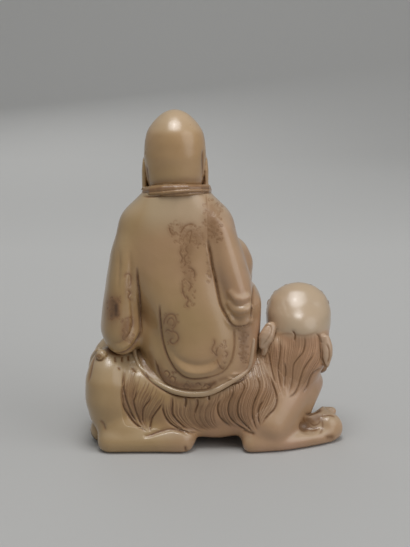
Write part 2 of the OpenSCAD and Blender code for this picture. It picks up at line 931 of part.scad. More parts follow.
module tail_bead() {
    color(lion_stone)
        difference() {
            tail_bead_form();
            tail_form();
            trunk_form();
            right_haunch_form();
            left_sleeve_form();
        }
}

monk_head();
monk_left_ear();
monk_right_ear();
robe_collar();
robe_mantle();
robe_skirt();
left_sleeve();
right_sleeve();
left_forearm();
right_forearm();
left_hand();
right_hand();
left_knee();
right_knee();
lion_trunk();
right_flank_fur();
left_flank_fur();
right_haunch();
left_haunch();
right_hind_foot();
left_hind_foot();
right_foreleg();
left_foreleg();
right_forepaw();
left_forepaw();
lion_head();
lion_muzzle();
lion_left_ear();
lion_right_ear();
lion_mane();
lion_brow_curls();
lion_beard();
lion_tail();
tail_bead();
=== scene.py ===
"""Looks of the soapstone statuette: a robed monk seated on a crouching lion, carved from one block."""

import math

import bpy
import numpy as np
import openvdb as vdb
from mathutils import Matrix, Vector


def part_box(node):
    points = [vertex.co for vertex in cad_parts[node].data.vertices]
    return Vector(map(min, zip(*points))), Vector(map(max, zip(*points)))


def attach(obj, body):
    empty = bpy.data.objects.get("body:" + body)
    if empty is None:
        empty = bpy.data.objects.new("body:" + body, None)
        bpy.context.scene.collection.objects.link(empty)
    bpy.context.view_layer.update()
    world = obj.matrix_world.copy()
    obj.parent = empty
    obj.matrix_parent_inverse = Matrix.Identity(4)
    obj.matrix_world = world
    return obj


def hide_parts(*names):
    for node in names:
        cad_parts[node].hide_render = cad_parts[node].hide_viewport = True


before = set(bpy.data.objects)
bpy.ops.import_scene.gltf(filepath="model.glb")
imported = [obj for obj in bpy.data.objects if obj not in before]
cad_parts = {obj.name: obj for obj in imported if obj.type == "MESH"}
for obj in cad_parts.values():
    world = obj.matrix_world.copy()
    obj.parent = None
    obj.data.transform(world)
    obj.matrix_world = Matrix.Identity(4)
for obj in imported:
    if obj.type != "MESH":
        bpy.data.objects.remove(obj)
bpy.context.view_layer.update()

MM = 0.001
PHOTO_SIZE = (410, 547)
SEED = 7
PITCH_SCALE = 1.0

# Camera of the photograph, in mm: it looks along +Y from a little above
CAMERA_TILT = math.radians(12)
CAMERA_DISTANCE = 420.0
CAMERA_AIM = np.array([-3.8, 0.26, 61.2])
FOCAL_PIXELS = 1164.0
TILT_SIN, TILT_COS = math.sin(CAMERA_TILT), math.cos(CAMERA_TILT)
TOWARDS_CAMERA = np.array([0.0, -TILT_COS, TILT_SIN])
MIRROR = np.array([1.0, -1.0, 1.0])
FRONT = np.array([0.0, 1.0, 0.0])
# How far past the middle a drawing still marks the stone, in mm
NEAR_LIMIT = 5.0

rng = np.random.default_rng(SEED)


# Distances on a grid, in mm, negative inside

def node_triangles(name):
    """Points, in mm, and triangles of a CAD node."""
    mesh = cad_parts[name].data
    mesh.calc_loop_triangles()
    points = np.empty(len(mesh.vertices) * 3, np.float32)
    mesh.vertices.foreach_get("co", points)
    triangles = np.empty(len(mesh.loop_triangles) * 3, np.int32)
    mesh.loop_triangles.foreach_get("vertices", triangles)
    return points.reshape(-1, 3) / np.float32(MM), triangles.reshape(-1, 3)


def smooth_step(low, high, values):
    t = np.clip((values - low) / (high - low), 0, 1)
    return t * t * (3 - 2 * t)


def joined(a, b, blend):
    """Union of two distances, with the crease between them filled over that width."""
    h = np.clip(blend - np.abs(a - b), 0, None) / blend
    return np.minimum(a, b) - h * h * blend / 4


class Grid:
    """A grid of distances round some CAD nodes."""

    def __init__(self, names, pitch, margin=3.6):
        boxes = [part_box(n) for n in names]
        low = np.min([np.array(b[0]) for b in boxes], axis=0) / MM - margin
        high = np.max([np.array(b[1]) for b in boxes], axis=0) / MM + margin
        self.pitch = pitch * PITCH_SCALE
        self.band = math.ceil(margin / self.pitch)
        self.start = np.floor(low / self.pitch).astype(int)
        cells = np.ceil(high / self.pitch).astype(int) - self.start + 1
        self.shape = tuple(int(-(-n // 8) * 8) for n in cells)
        self.lines = [(self.start[i] + np.arange(self.shape[i])) * self.pitch for i in range(3)]

    def window(self, low, high):
        """The cells between two corners: their slices, and their x, y and z shaped to combine."""
        cut = []
        for line, a, b in zip(self.lines, low, high):
            first, last = np.searchsorted(line, (a, b))
            cut.append(slice(int(first), int(last)))
        axes = [line[c] for line, c in zip(self.lines, cut)]
        return tuple(cut), np.meshgrid(*axes, indexing="ij", sparse=True)

    def from_mesh(self, points, **faces):
        grid = vdb.FloatGrid.createLevelSetFromPolygons(
            points.astype(np.float32), transform=vdb.createLinearTransform(self.pitch), halfWidth=self.band, **faces)
        cells = np.empty(self.shape, np.float32)
        grid.copyToArray(cells, ijk=tuple(int(i) for i in self.start))
        return cells

    def distance(self, name):
        """Distance to a CAD node."""
        points, triangles = node_triangles(name)
        return self.from_mesh(points, triangles=triangles)

    def blur(self, cells, sigma):
        """Gaussian blur, with sigma in mm."""
        spectrum = np.fft.rfftn(cells)
        scale = -2 * (math.pi * sigma / self.pitch) ** 2
        for axis, count in enumerate(self.shape):
            waves = np.fft.rfftfreq(count) if axis == 2 else np.fft.fftfreq(count)
            shape = [1, 1, 1]
            shape[axis] = -1
            spectrum *= np.exp(scale * waves ** 2).reshape(shape)
        return np.fft.irfftn(spectrum, self.shape).astype(np.float32)

    def smooth(self, cells, sigma):
        """Blur that takes out facets and keeps round forms at their size."""
        once = self.blur(cells, sigma)
        return 2 * once - self.blur(once, sigma)

    def filled(self, cells, radius):
        """The form with its creases filled to a radius."""
        points, quads = self.mesh(cells - radius)
        return self.from_mesh(points, quads=quads) + radius

    def taken_from(self, coarse, cells):
        """The values of a coarser grid's cells at this grid's places."""
        for axis, line in enumerate(self.lines):
            place = np.clip(line / coarse.pitch - coarse.start[axis], 0, coarse.shape[axis] - 1.001)
            low = place.astype(int)
            shape = [1, 1, 1]
            shape[axis] = -1
            t = (place - low).astype(np.float32).reshape(shape)
            cells = np.take(cells, low, axis) * (1 - t) + np.take(cells, low + 1, axis) * t
        return cells

    def mesh(self, cells):
        """Points, in mm, and quads of the surface."""
        cells = cells.astype(np.float32)
        for axis in range(3):
            for end in (0, -1):
                np.moveaxis(cells, axis, 0)[end] = self.pitch
        grid = vdb.FloatGrid(self.band * self.pitch)
        grid.transform = vdb.createLinearTransform(self.pitch)
        grid.copyFromArray(cells, ijk=tuple(int(i) for i in self.start))
        points, quads = grid.convertToQuads(0.0)
        return points.astype(float), quads.astype(np.int32)


def point_normals(points, quads):
    """Unit normal at each point."""
    a, b, c, d = (points[quads[:, i]] for i in range(4))
    face = np.cross(c - a, d - b)
    total = np.zeros_like(points)
    for corner in range(4):
        for axis in range(3):
            total[:, axis] += np.bincount(quads[:, corner], face[:, axis], len(points))
    return total / np.maximum(np.linalg.norm(total, axis=1, keepdims=True), 1e-9)


def main_shells(points, quads, share=0.03):
    """The mesh without its small loose shells."""
    label = np.arange(len(points))
    edges = np.vstack([quads[:, [i, (i + 1) % 4]] for i in range(4)])
    while True:
        low = np.minimum(label[edges[:, 0]], label[edges[:, 1]])
        new = label.copy()
        np.minimum.at(new, edges[:, 0], low)
        np.minimum.at(new, edges[:, 1], low)
        new = new[new]
        if np.array_equal(new, label):
            break
        label = new
    sizes = np.bincount(label, minlength=len(points))
    keep = sizes[label] >= share * len(points)
    quads = quads[keep[quads[:, 0]]]
    place = np.cumsum(keep) - 1
    return points[keep], place[quads]


# Drawings: strokes on a plane, kept as maps of carved depth and raised height, in mm, and of brown stain, part of which
# is painted shade

def spline(points, spacing):
    """Smooth curve through points, with about that spacing."""
    points = np.asarray(points, float)
    if len(points) == 2:
        points = np.array([points[0], points.mean(axis=0), points[1]])
    padded = np.vstack([2 * points[0] - points[1], points, 2 * points[-1] - points[-2]])
    curve = []
    for i in range(1, len(padded) - 2):
        a, b, c, d = padded[i - 1:i + 3]
        count = max(2, int(np.linalg.norm(c - b) / spacing))
        t = (np.arange(count) / count)[:, None]
        curve.append(0.5 * (2 * b + (c - a) * t + (2 * a - 5 * b + 4 * c - d) * t ** 2
                            + (3 * b - a - 3 * c + d) * t ** 3))
    return np.vstack(curve + [points[-1:]])


def seen_by_camera(points):
    """Pixel places of points in mm, as the photograph's camera sees them."""
    rel = points - CAMERA_AIM
    ahead = CAMERA_DISTANCE + rel[:, 1] * TILT_COS - rel[:, 2] * TILT_SIN
    up = rel[:, 1] * TILT_SIN + rel[:, 2] * TILT_COS
    across = PHOTO_SIZE[0] / 2 + FOCAL_PIXELS * rel[:, 0] / ahead
    return across, PHOTO_SIZE[1] / 2 - FOCAL_PIXELS * up / ahead


def camera_ray(pixel):
    """Start and step, per mm of depth, of the camera's ray through a pixel."""
    across = (pixel[0] - PHOTO_SIZE[0] / 2) / FOCAL_PIXELS
    up = (PHOTO_SIZE[1] / 2 - pixel[1]) / FOCAL_PIXELS
    return CAMERA_AIM + CAMERA_DISTANCE * TOWARDS_CAMERA, -TOWARDS_CAMERA + (across, up * TILT_SIN, up * TILT_COS)


FRONT_CORNER = (-50.0, 125.0)
FRONT_SIZE = (100, 125)


def seen_from_front(points):
    """Places on a drawing of the front, in mm from its top left corner."""
    return points[:, 0] - FRONT_CORNER[0], FRONT_CORNER[1] - points[:, 2]


def on_front(points):
    """Places on a drawing of the front of x and z in mm."""
    return [(x - FRONT_CORNER[0], FRONT_CORNER[1] - z) for x, z in points]


class Drawing:
    """Strokes on a plane: sizes across it are in its own units."""

    REACH = 2.6
    FACING = (0.05, 0.4)
    STRAND_POINTS = 20
    CURL_POINTS = 14
    CURL_IN = 0.85

    def __init__(self, size, scale, place, direction):
        self.scale = scale
        self.place = place
        self.direction = direction
        shape = (math.ceil(size[1] * scale), math.ceil(size[0] * scale))
        self.depth, self.height, self.stain = (np.zeros(shape, np.float32) for _ in range(3))

    def stroke(self, points, width, depth=0.0, stain=0.0, taper=0.15, height=0.0, sharp=1.6):
        """One line, carved to a depth or raised to a height, with stain from 0 to 1."""
        curve = spline(points, 0.9 / self.scale)
        t = np.linspace(0, 1, len(curve))
        strength = np.ones(len(curve))
        if taper:
            strength = np.clip(np.minimum(t, 1 - t) / taper, 0, 1) ** 0.6
        reach = int(math.ceil(width * self.REACH * self.scale))
        steps = np.arange(-reach, reach + 1)
        cells = np.floor(curve * self.scale).astype(int)
        columns = cells[:, 0, None, None] + steps[None, None, :]
        rows = cells[:, 1, None, None] + steps[None, :, None]
        away = np.hypot((columns + 0.5) / self.scale - curve[:, 0, None, None],
                        (rows + 0.5) / self.scale - curve[:, 1, None, None])
        profile = np.exp(-(away / width) ** sharp) * strength[:, None, None]
        columns, rows = np.broadcast_arrays(columns, rows)
        inside = (columns >= 0) & (columns < self.depth.shape[1]) & (rows >= 0) & (rows < self.depth.shape[0])
        at = rows[inside], columns[inside]
        for grid, amount in ((self.depth, depth), (self.height, height), (self.stain, stain)):
            if amount:
                np.maximum.at(grid, at, (amount * profile[inside]).astype(np.float32))

    def strands(self, guides, spacing, width, depth, stain, loose=5):
        """Fine lines between neighbouring guide lines, a little uneven."""
        steps = np.linspace(0, 1, self.STRAND_POINTS)
        even = []
        for guide in guides:
            line = spline(guide, 1.0)
            along = np.linspace(0, 1, len(line))
            even.append(np.stack([np.interp(steps, along, line[:, k]) for k in range(2)], 1))
        for a, b in zip(even, even[1:]):
            count = max(1, int(np.linalg.norm(a - b, axis=1).max() / spacing))
            for i in range(count):
                line = a + (b - a) * (i + rng.uniform(0.2, 0.8)) / count
                first, last = rng.integers(0, loose), self.STRAND_POINTS - rng.integers(0, loose)
                strength = rng.uniform(0.65, 1.0)
                self.stroke(line[first:last], width, depth * strength, stain * strength, taper=0.2)

    def curl(self, middle, radius, width, depth, stain, turns=1.4, start=0.0, way=1):
        """A spiral that winds in to its middle."""
        t = np.linspace(0, 1, self.CURL_POINTS)
        angle = start + way * turns * 2 * math.pi * t
        reach = radius * (1 - self.CURL_IN * t)
        self.stroke(np.stack([middle[0] + reach * np.cos(angle), middle[1] + reach * np.sin(angle)], 1),
                    width, depth, stain, taper=0.1)

    def small_curls(self, low, high, count, radius, stain):
        """Little engraved curls strewn over a rectangle."""
        for _ in range(count):
            middle = rng.uniform(low, high)
            self.curl(middle, radius * rng.uniform(0.6, 1.3), 0.5, 0.08, stain * rng.uniform(0.6, 1.0),
                      turns=rng.uniform(0.7, 1.3), start=rng.uniform(0, 6.3), way=rng.choice((-1, 1)))

    def sample(self, grid, points):
        """Values of a map at points in mm."""
        across, down = self.place(points)
        u = np.clip(across * self.scale - 0.5, 0, grid.shape[1] - 1.001)
        v = np.clip(down * self.scale - 0.5, 0, grid.shape[0] - 1.001)
        i, j = u.astype(int), v.astype(int)
        u, v = u - i, v - j
        return ((grid[j, i] * (1 - u) + grid[j, i + 1] * u) * (1 - v)
                + (grid[j + 1, i] * (1 - u) + grid[j + 1, i + 1] * u) * v)

    def relief(self, points, normals):
        """How far each point is raised, and its stain."""
        facing = smooth_step(*self.FACING, normals @ self.direction)
        facing *= smooth_step(-NEAR_LIMIT, 0, points[:, 1] * np.sign(self.direction[1]))
        rise = self.sample(self.height, points) - self.sample(self.depth, points)
        return rise * facing, self.sample(self.stain, points) * facing


class Mirrored:
    """A drawing of the near side, used on the far side."""

    def __init__(self, drawing):
        self.drawing = drawing

    def relief(self, points, normals):
        return self.drawing.relief(points * MIRROR, normals * MIRROR)


# Carved work of the photographed side, in pixels of the photograph

PHOTO_SCALE = 3
robe_work, lion_work = (Drawing(PHOTO_SIZE, PHOTO_SCALE, seen_by_camera, TOWARDS_CAMERA) for _ in range(2))

# Edges of the robe: points, width, depth, stain
ROBE_EDGES = [
    # right sleeve's inner edge
    ([(206, 194), (207.2, 206), (207.6, 217.8), (207.6, 232.5), (208.9, 247.2)], 0.9, 0.1, 0.5),
    ([(207.8, 240), (208.9, 247.2), (210.6, 255.3), (212.6, 267.3), (215.3, 278), (217.6, 288.8), (220.8, 303.3),
      (224, 311), (227.8, 319.9), (232.9, 326.3), (239.3, 327.6), (246.9, 326.3), (251, 322)], 1.2, 1.0, 0.88),
    # mantle's round lower edge
    ([(159.2, 305), (159.6, 317.3), (160.5, 326.9), (162.1, 339), (165.3, 351.1), (169.8, 361.3), (175.5, 369.6),
      (181.9, 375.7), (188.3, 378.5), (195.9, 379.2), (207.4, 377.9), (214.4, 376.3)], 1.0, 0.65, 0.95),
    ([(207.4, 377.9), (214.4, 376.3), (221.4, 373.4), (226.5, 369), (230.4, 363.2), (232.9, 355.6), (234.2, 347.9),
      (234.5, 339.6), (233.9, 328)], 0.9, 0.4, 0.6),
    # border band's lower edge
    ([(154.6, 360), (157.7, 370.9), (161.5, 378.5), (165.9, 383.6), (172.3, 386.8), (181.9, 389.4), (191.5, 390.7),
      (201, 390.3), (207.4, 389.4), (211.2, 386.8), (216.8, 381)], 0.9, 0.5, 0.9),
    # left sleeve's edge
    ([(136.5, 268), (137.6, 283), (139, 294.3), (140, 308.3), (140.9, 322.3), (140.6, 332.1), (136.9, 340.6),
      (131.3, 348.3), (124.3, 352.7), (115.1, 354.4), (108, 353)], 1.1, 0.85, 0.88),
    # right sleeve's outer edge
    ([(244.5, 240), (249, 255), (253, 268), (254.5, 276), (253.5, 290), (252.5, 305), (251.5, 320)], 1.0, 0.7, 1.0),
]
# the hem's lower edge: a deep groove, stained darkest as painted shadow under the hem
HEM = [(136, 352), (140.5, 366), (148, 377.5), (158.3, 386.6), (170.5, 393.2), (183.6, 396.3), (197.7, 396.6),
       (208, 394.4), (221.1, 389.4), (230.5, 384.4), (240, 381.5), (249, 375)]
# the hem's rounded lip
HEM_LIP = [(134.5, 350), (136, 359), (140, 367.5), (145, 372.5), (152.5, 380), (162.5, 385.8), (172.5, 390.4),
           (181, 392.8), (190, 394), (199, 394), (207.6, 393), (216, 389.8), (224, 385.6), (233, 380.2), (241, 375),
           (247, 369), (250.5, 361), (252.3, 350), (253.5, 340)]
# rolled folds at the bottom of the right sleeve
SLEEVE_ROLLS = [
    [(228.5, 315), (231, 321), (237, 324), (244, 323.5), (250, 321)],
    [(230, 304), (234, 309.5), (240, 311), (246, 309.8), (250.5, 307)],
    [(231, 293), (235, 298), (241, 299.5), (248, 297)],
]
# the mantle's lower edge flares out under a shallow hollow
FLARE_HOLLOW = [(170, 348), (176, 357), (183, 362), (191, 364.6), (198, 365.4), (207, 364.4), (215, 360.5), (221, 353)]
FLARE = [(173, 358), (179, 366), (186, 371), (194, 373), (202, 373), (211, 370.5), (219, 365.5), (226, 357)]
BORDER_LIP = [(235.6, 330), (235.8, 341), (235, 352), (232.3, 364)]
CORNER_RIDGES = [
    [(248.2, 362.6), (244.4, 370.3), (239.3, 373.4), (229.7, 374.7)],
    [(249.5, 368.3), (243.1, 376.6), (236.1, 379.2), (226, 378)],
]

SLEEVE_HEM = [(133.5, 283), (135, 294), (136, 308), (136.8, 322), (136.5, 331), (133, 338.5), (128, 344.5),
              (121.5, 348.3), (114, 349.5)]
# groove inside the sleeve's hem band, stained as painted shade along its inner edge
SLEEVE_HEM_INNER = [(130.5, 300), (132, 312), (132.4, 322), (131.5, 330), (127.5, 337), (121, 342), (113, 343.5)]

# Engraved ornament, stained brown
BACK_SCROLLS = [
    [(169, 227.2), (170.1, 231.2), (172.1, 234.5), (175.5, 234.5)],
    [(180.1, 233.8), (184.8, 226.5), (190.2, 224.5), (194.2, 225.1)],
    [(185.5, 237.9), (187.5, 232.5), (191.5, 231.2), (190.2, 237.9), (189.5, 244.6)],
    [(188.5, 244.6), (185.5, 249), (187.5, 253.5), (184, 258), (185.6, 263), (183, 267.5)],
    [(182, 248), (180, 253), (182.4, 258), (180.4, 264)],
    [(187.5, 268.3), (190.2, 268), (193.5, 270.3), (194.9, 274.7), (193.5, 279)],
    [(182.2, 282), (182.8, 292), (186.2, 299.5)],
    [(187.5, 280.7), (190.9, 285.4), (188.2, 292)],
    [(185.7, 295), (188.3, 300.1), (186.4, 304.6), (188.9, 307.8)],
]
MANTLE_SCROLLS = [
    [(163.4, 325.6), (164.7, 319.2), (168.5, 314.8), (173.6, 314.8), (176.1, 319.2), (175.5, 324.3), (173, 328.2),
     (169.8, 328.2)],
    [(166.6, 325), (167.9, 320.5), (171, 318), (173.6, 320.5), (173.6, 324.3), (171, 326.9)],
    [(164.7, 333.3), (167.2, 330), (170.4, 331.4), (174.2, 332), (177.4, 334.5), (178.1, 339), (175.5, 342.8),
     (172.3, 343.8), (169.8, 340.9), (171.7, 338.4), (174.2, 339)],
    [(213.8, 338.4), (214.4, 343.5), (211.9, 349.2), (213.8, 352.4), (217, 355.6), (216.3, 351.1), (218.9, 346)],
    [(224.6, 351.1), (227.5, 353.7), (225.9, 357.5)],
    [(217, 358.8), (218.9, 365.2), (222.7, 369), (224, 366.4)],
]
SLEEVE_SCROLLS = [
    [(124.3, 278.1), (125.7, 274.6), (129.2, 273.9), (131.3, 277.4), (130.6, 284.5), (128.5, 287.3)],
    [(127.5, 290), (130.5, 293), (128.5, 297), (131.5, 301)],
    [(124, 319.5), (129, 317.5), (132.5, 319), (132.8, 325), (130.5, 328)],
    [(121, 330), (124.5, 333), (122.5, 338), (127, 341.5)],
    [(126, 329.5), (128.8, 334), (126.5, 338)],
]
BORDER_SCROLLS = [
    [(163, 373), (166.5, 371), (169.5, 374), (167, 378.5)],
    [(168.5, 380), (172, 376.5), (175.2, 379.5), (173, 384.5)],
    [(195, 384.5), (198.5, 383.2), (201.5, 386)],
    [(203, 387.5), (206.5, 384.2), (210, 386)],
    [(256, 360.5), (258.8, 363), (257, 366.8)],
]
# Little engraved curls: low and high corner of each patch, count, radius, stain
SMALL_CURLS = [
    ((170, 222), (182, 243), 18, 1.8, 0.7),
    ((178, 226), (204, 248), 44, 1.8, 0.7),
    ((180, 248), (190, 270), 24, 1.6, 0.72),
    ((182, 268), (195, 308), 38, 1.6, 0.72),
    ((164, 314), (178, 344), 16, 1.6, 0.7),
    ((212, 340), (226, 368), 18, 1.6, 0.72),
    ((203, 198), (222, 226), 42, 1.7, 0.68),
    ((207, 224), (222, 243), 30, 1.7, 0.85),
    ((217, 205), (225, 216), 7, 1.8, 0.6),
    ((206.5, 247), (211, 286), 14, 1.5, 0.66),
    ((107, 297), (121, 320), 40, 1.4, 0.95),
    ((115, 304), (119, 319), 10, 1.2, 0.9),
    ((121, 317), (133, 342), 20, 1.6, 0.9),
    ((239, 330), (248, 363), 44, 1.3, 0.85),
    ((162, 370), (178, 386), 14, 1.5, 0.85),
    ((178, 382), (212, 389), 18, 1.5, 0.85),
]
# Brown washes over whole patches: points, width, stain
WASHES = [
    ([(176, 224), (186, 234), (190, 245), (186, 262), (189, 280), (187, 302)], 6.0, 0.34),
    ([(186, 232), (203, 238)], 7.0, 0.36),
    ([(171, 318), (172, 340)], 6.0, 0.3),
    ([(215, 345), (221, 362)], 6.0, 0.3),
    ([(211, 204), (213, 220), (212, 240)], 8.0, 0.42),
    ([(209, 247), (210.5, 262), (213, 280)], 3.0, 0.35),
    ([(128, 278), (128.5, 298)], 4.0, 0.35),
    ([(113.5, 299), (113.5, 317)], 7.5, 0.8),
    ([(116, 302), (116, 318)], 4.2, 1.0),
    ([(127, 321), (125, 340)], 6.0, 0.58),
    ([(158.5, 362), (162, 374), (170, 382), (182, 385.6), (194, 386), (206, 384)], 3.8, 0.62),
    ([(157, 364), (159.5, 374)], 2.0, 0.85),
    ([(208, 385.5), (216, 382.5)], 2.6, 0.9),
    ([(243, 328), (243.8, 346), (243, 364)], 4.2, 0.52),
    ([(218, 381), (228, 376.5)], 2.0, 0.4),
    ([(146.5, 372), (152, 366), (150, 352)], 3.0, 0.4),
]
# Soft folds of the sleeves: points, width, depth; each also gets a light stain as painted shade in the fold
FOLDS = [
    ([(229, 309), (232.5, 315.5), (238.5, 317.8), (248, 316.5)], 1.2, 0.2),
    ([(230.5, 298), (234.5, 304), (240, 305.8), (249, 303.5)], 1.2, 0.15),
    ([(119.5, 250), (119, 268), (118, 290)], 2.2, 0.42),
    ([(130, 252), (130.5, 268), (130, 286)], 2.2, 0.42),
    ([(126, 300), (125, 318), (120, 334)], 3.0, 0.25),
]


def draw_robe(work):
    for points, width, depth, stain in ROBE_EDGES:
        work.stroke(points, width, depth, stain, taper=0.08)
    work.stroke(HEM, 1.3, 1.2, 1.0, taper=0.05)
    work.stroke(FLARE_HOLLOW, 3.4, 0.55, taper=0.3)
    work.stroke(FLARE, 3.4, height=0.7, taper=0.3)
    work.stroke(SLEEVE_HEM, 2.4, height=0.6, taper=0.2)
    work.stroke(SLEEVE_HEM_INNER, 1.2, 0.35, 0.4, taper=0.2)
    work.stroke(BORDER_LIP, 1.3, height=0.3)
    for points in CORNER_RIDGES:
        work.stroke(points, 1.5, height=0.45)
    for points in BACK_SCROLLS + MANTLE_SCROLLS + SLEEVE_SCROLLS:
        work.stroke(points, 0.75, 0.15, 0.85, taper=0.1)
        work.stroke(points, 2.4, stain=0.4, taper=0.1)
    for points in BORDER_SCROLLS:
        work.stroke(points, 0.8, 0.2, 0.9, taper=0.1)
    work.curl((186.5, 386), 3.8, 0.8, 0.2, 0.9)
    work.curl((176, 222), 4.2, 0.6, 0.05, 0.3, turns=1.0)
    for patch in SMALL_CURLS:
        work.small_curls(*patch)
    for points, width, stain in WASHES:
        work.stroke(points, width, stain=stain, taper=0.2, sharp=2.0)
    for points, width, depth in FOLDS:
        work.stroke(points, width, depth, 0.12, taper=0.35)


# Locks of fur: deep lines, and the guides of the fine lines between them
FLANK_LOCKS = [
    [(122.2, 386), (122.2, 396), (123.6, 407), (128.3, 415.4), (134, 422), (139.6, 426.7), (146, 431)],
    [(124.6, 371.4), (123.6, 385), (125.5, 397.6), (128.3, 407), (132, 415.4), (137.7, 423)],
    [(136.8, 389.2), (134.9, 397.6), (133.5, 402.3), (135.3, 410.8), (138.2, 418.3), (143, 427)],
    [(150.8, 395.8), (148.9, 401.4), (144.3, 407), (142.6, 412.6), (142.4, 420), (142.8, 424)],
    [(162, 403.3), (159.3, 408), (154.6, 414.5), (151.8, 419.2), (150.3, 425.8), (149.5, 431)],
    [(163, 403.3), (163, 410.8), (165.8, 418.3), (170.5, 423.9), (178, 428.6), (185.5, 431.4), (195.8, 433.3)],
    [(171.9, 396.7), (172.4, 404.2), (171.9, 410.8), (173.3, 416.4), (178, 422), (183.6, 426.7), (189.3, 429.5)],
    [(185, 396.2), (186, 401.4), (185, 408)],
    [(196.8, 398), (197.7, 404.2), (195.8, 409.8), (194.4, 415)],
    [(208.5, 393), (209, 400)],
    [(220.7, 399.5), (218.3, 404.2), (217.6, 409.8), (219.3, 416.4), (223.9, 422), (231, 427)],
    [(230.5, 387.3), (233.3, 391), (231.9, 396.7), (229, 403.3), (228.2, 410.8), (229.6, 417.3), (234.3, 423),
     (240.8, 427.6), (249.3, 431.4)],
    [(239, 380.8), (243.6, 384.5), (244.1, 389.2), (240.8, 396.7), (238, 404.2), (237.5, 411.7), (239.4, 418.3),
     (243.6, 423.9), (249.3, 429.5), (253, 433.3)],
    [(254.9, 375), (258.6, 379.8), (259.6, 386), (258.1, 393.7), (254.4, 402.4), (252.4, 410.5), (252.4, 418.5),
     (254.4, 425.2), (257, 430)],
    [(263.8, 400.4), (260.1, 405.8), (258.1, 411.8), (257.8, 418.5), (259.4, 425.2)],
    [(269.8, 375.8), (273.5, 385), (276.5, 395), (276.5, 403), (273.5, 409.8), (268.1, 415.1), (264.1, 419.8),
     (261.4, 425.2)],
]
FLANK_STRANDS = [
    [
        [(124, 368), (122.5, 382), (122.5, 396), (125, 408), (131, 418), (141, 428)],
        [(133, 368), (131, 380), (129, 392), (131, 404), (136, 415), (143, 428)],
        [(142, 374), (138, 385), (134.5, 396), (135, 406), (139, 416), (145, 429)],
        [(149, 380), (146, 390), (141, 400), (139.5, 409), (141.5, 418), (146, 430)],
        [(155, 386), (152, 394), (147, 403), (144, 411), (144, 420), (147.5, 430.5)],
        [(161, 391), (159, 398), (154, 406), (149.5, 414), (147.5, 422), (149, 431)],
        [(165, 394), (163.5, 402), (160, 408), (155, 415), (151.5, 422), (150.5, 431)],
    ],
    [
        [(164, 396), (163, 405), (164.5, 414), (170, 422.5), (180, 429), (194, 433)],
        [(172, 396), (172, 405), (172.5, 414), (178, 421.5), (187, 428), (198, 432.5)],
        [(180, 397), (180.5, 406), (180, 414), (184, 421), (191, 427), (202, 432)],
        [(188, 397.5), (189, 406), (187.5, 414), (190, 421), (196, 427), (206, 431.5)],
        [(197, 397.5), (197.5, 405), (195.5, 413), (196.5, 420), (201, 426), (210, 431)],
        [(206, 396.5), (205.5, 404), (202.5, 412), (202.5, 419), (206, 425), (214, 430)],
        [(214, 394.5), (212, 403), (208.5, 411), (208, 418), (211, 424.5), (217, 429)],
        [(221, 391.5), (219, 400), (215.5, 408), (214.5, 416), (216, 423), (219, 428)],
    ],
    [
        [(221, 390), (221, 399), (217.6, 407), (218.5, 416), (223, 423), (231, 428)],
        [(227, 382), (228, 395), (223, 405), (223, 414), (227.5, 422), (237, 428.5)],
        [(229, 378), (233, 390), (229.5, 402), (228.2, 411), (232, 420.5), (242, 428.5)],
        [(235, 372), (240, 387), (235, 400), (233, 411), (236, 420.5), (247, 430)],
        [(239, 368), (244.5, 386), (239.5, 399), (237.6, 411), (241, 421), (251, 431)],
        [(247, 361), (252, 383), (247, 398), (244.5, 410), (247, 421), (254, 431.5)],
        [(253, 356), (260, 383), (255, 400), (252.5, 411), (254, 422), (257, 431)],
        [(259, 356), (268, 384), (263, 400), (258, 411), (257, 420), (259, 429)],
        [(264, 362), (275, 390), (275, 402), (268, 414), (262, 421), (261, 428)],
    ],
]
MANE_LOCKS = [
    [(292.2, 331), (294.8, 335.3), (294.4, 341.3)],
    [(304.3, 337), (305.1, 343.9), (303, 352.5), (298.2, 358.5), (293.9, 364.6), (292.6, 372.3), (292.2, 380.9),
     (290.5, 388.7), (287.9, 393.9)],
    [(313.7, 352.5), (312, 357.7), (306.8, 364.6), (303.4, 370.6), (300.8, 378.4), (298.7, 386.1), (294.8, 393.9),
     (288.8, 398.2)],
    [(316.3, 333.6), (319.8, 337), (320.6, 345.6), (321.5, 354.2), (320.6, 362.9)],
    [(321.5, 368), (313.7, 373.2), (310.3, 378.4), (307.7, 386.1), (303.4, 393)],
    [(279.3, 340.5), (280.1, 348.2), (279.3, 357.7), (278, 366.3), (278.4, 374), (280.1, 381.8), (281, 389.6)],
    [(284.5, 362.9), (285.3, 371.5), (284.9, 380), (284.5, 387.8)],
    [(268, 352), (269.5, 362), (272.5, 373), (276, 384)],
]
MANE_STRANDS = [
    [(262, 352), (264, 362), (267, 372), (271, 382), (275, 391), (279, 399)],
    [(268, 345), (269.5, 355), (271, 366), (274, 377), (277.5, 388), (281, 398)],
    [(274, 338), (275, 350), (276, 362), (277, 374), (279.5, 386), (283, 397)],
    [(281, 335), (281, 348), (280.5, 361), (281, 373), (283, 385), (285, 397)],
    [(288, 334), (288, 347), (286.5, 360), (286, 372), (286.5, 384), (287, 396)],
    [(296, 335), (296, 346), (293.5, 358), (291, 370), (290, 383), (288, 396)],
    [(304, 336), (304.5, 347), (301, 357), (296.5, 368), (294, 381), (289, 396)],
    [(311, 334), (312, 346), (309.5, 356), (304, 367), (299.5, 379), (291, 397)],
    [(317, 334), (318.5, 346), (317, 356), (311, 366), (305, 378), (295, 396)],
    [(320, 340), (321, 352), (320, 362), (314, 371), (308, 381), (300, 394)],
]
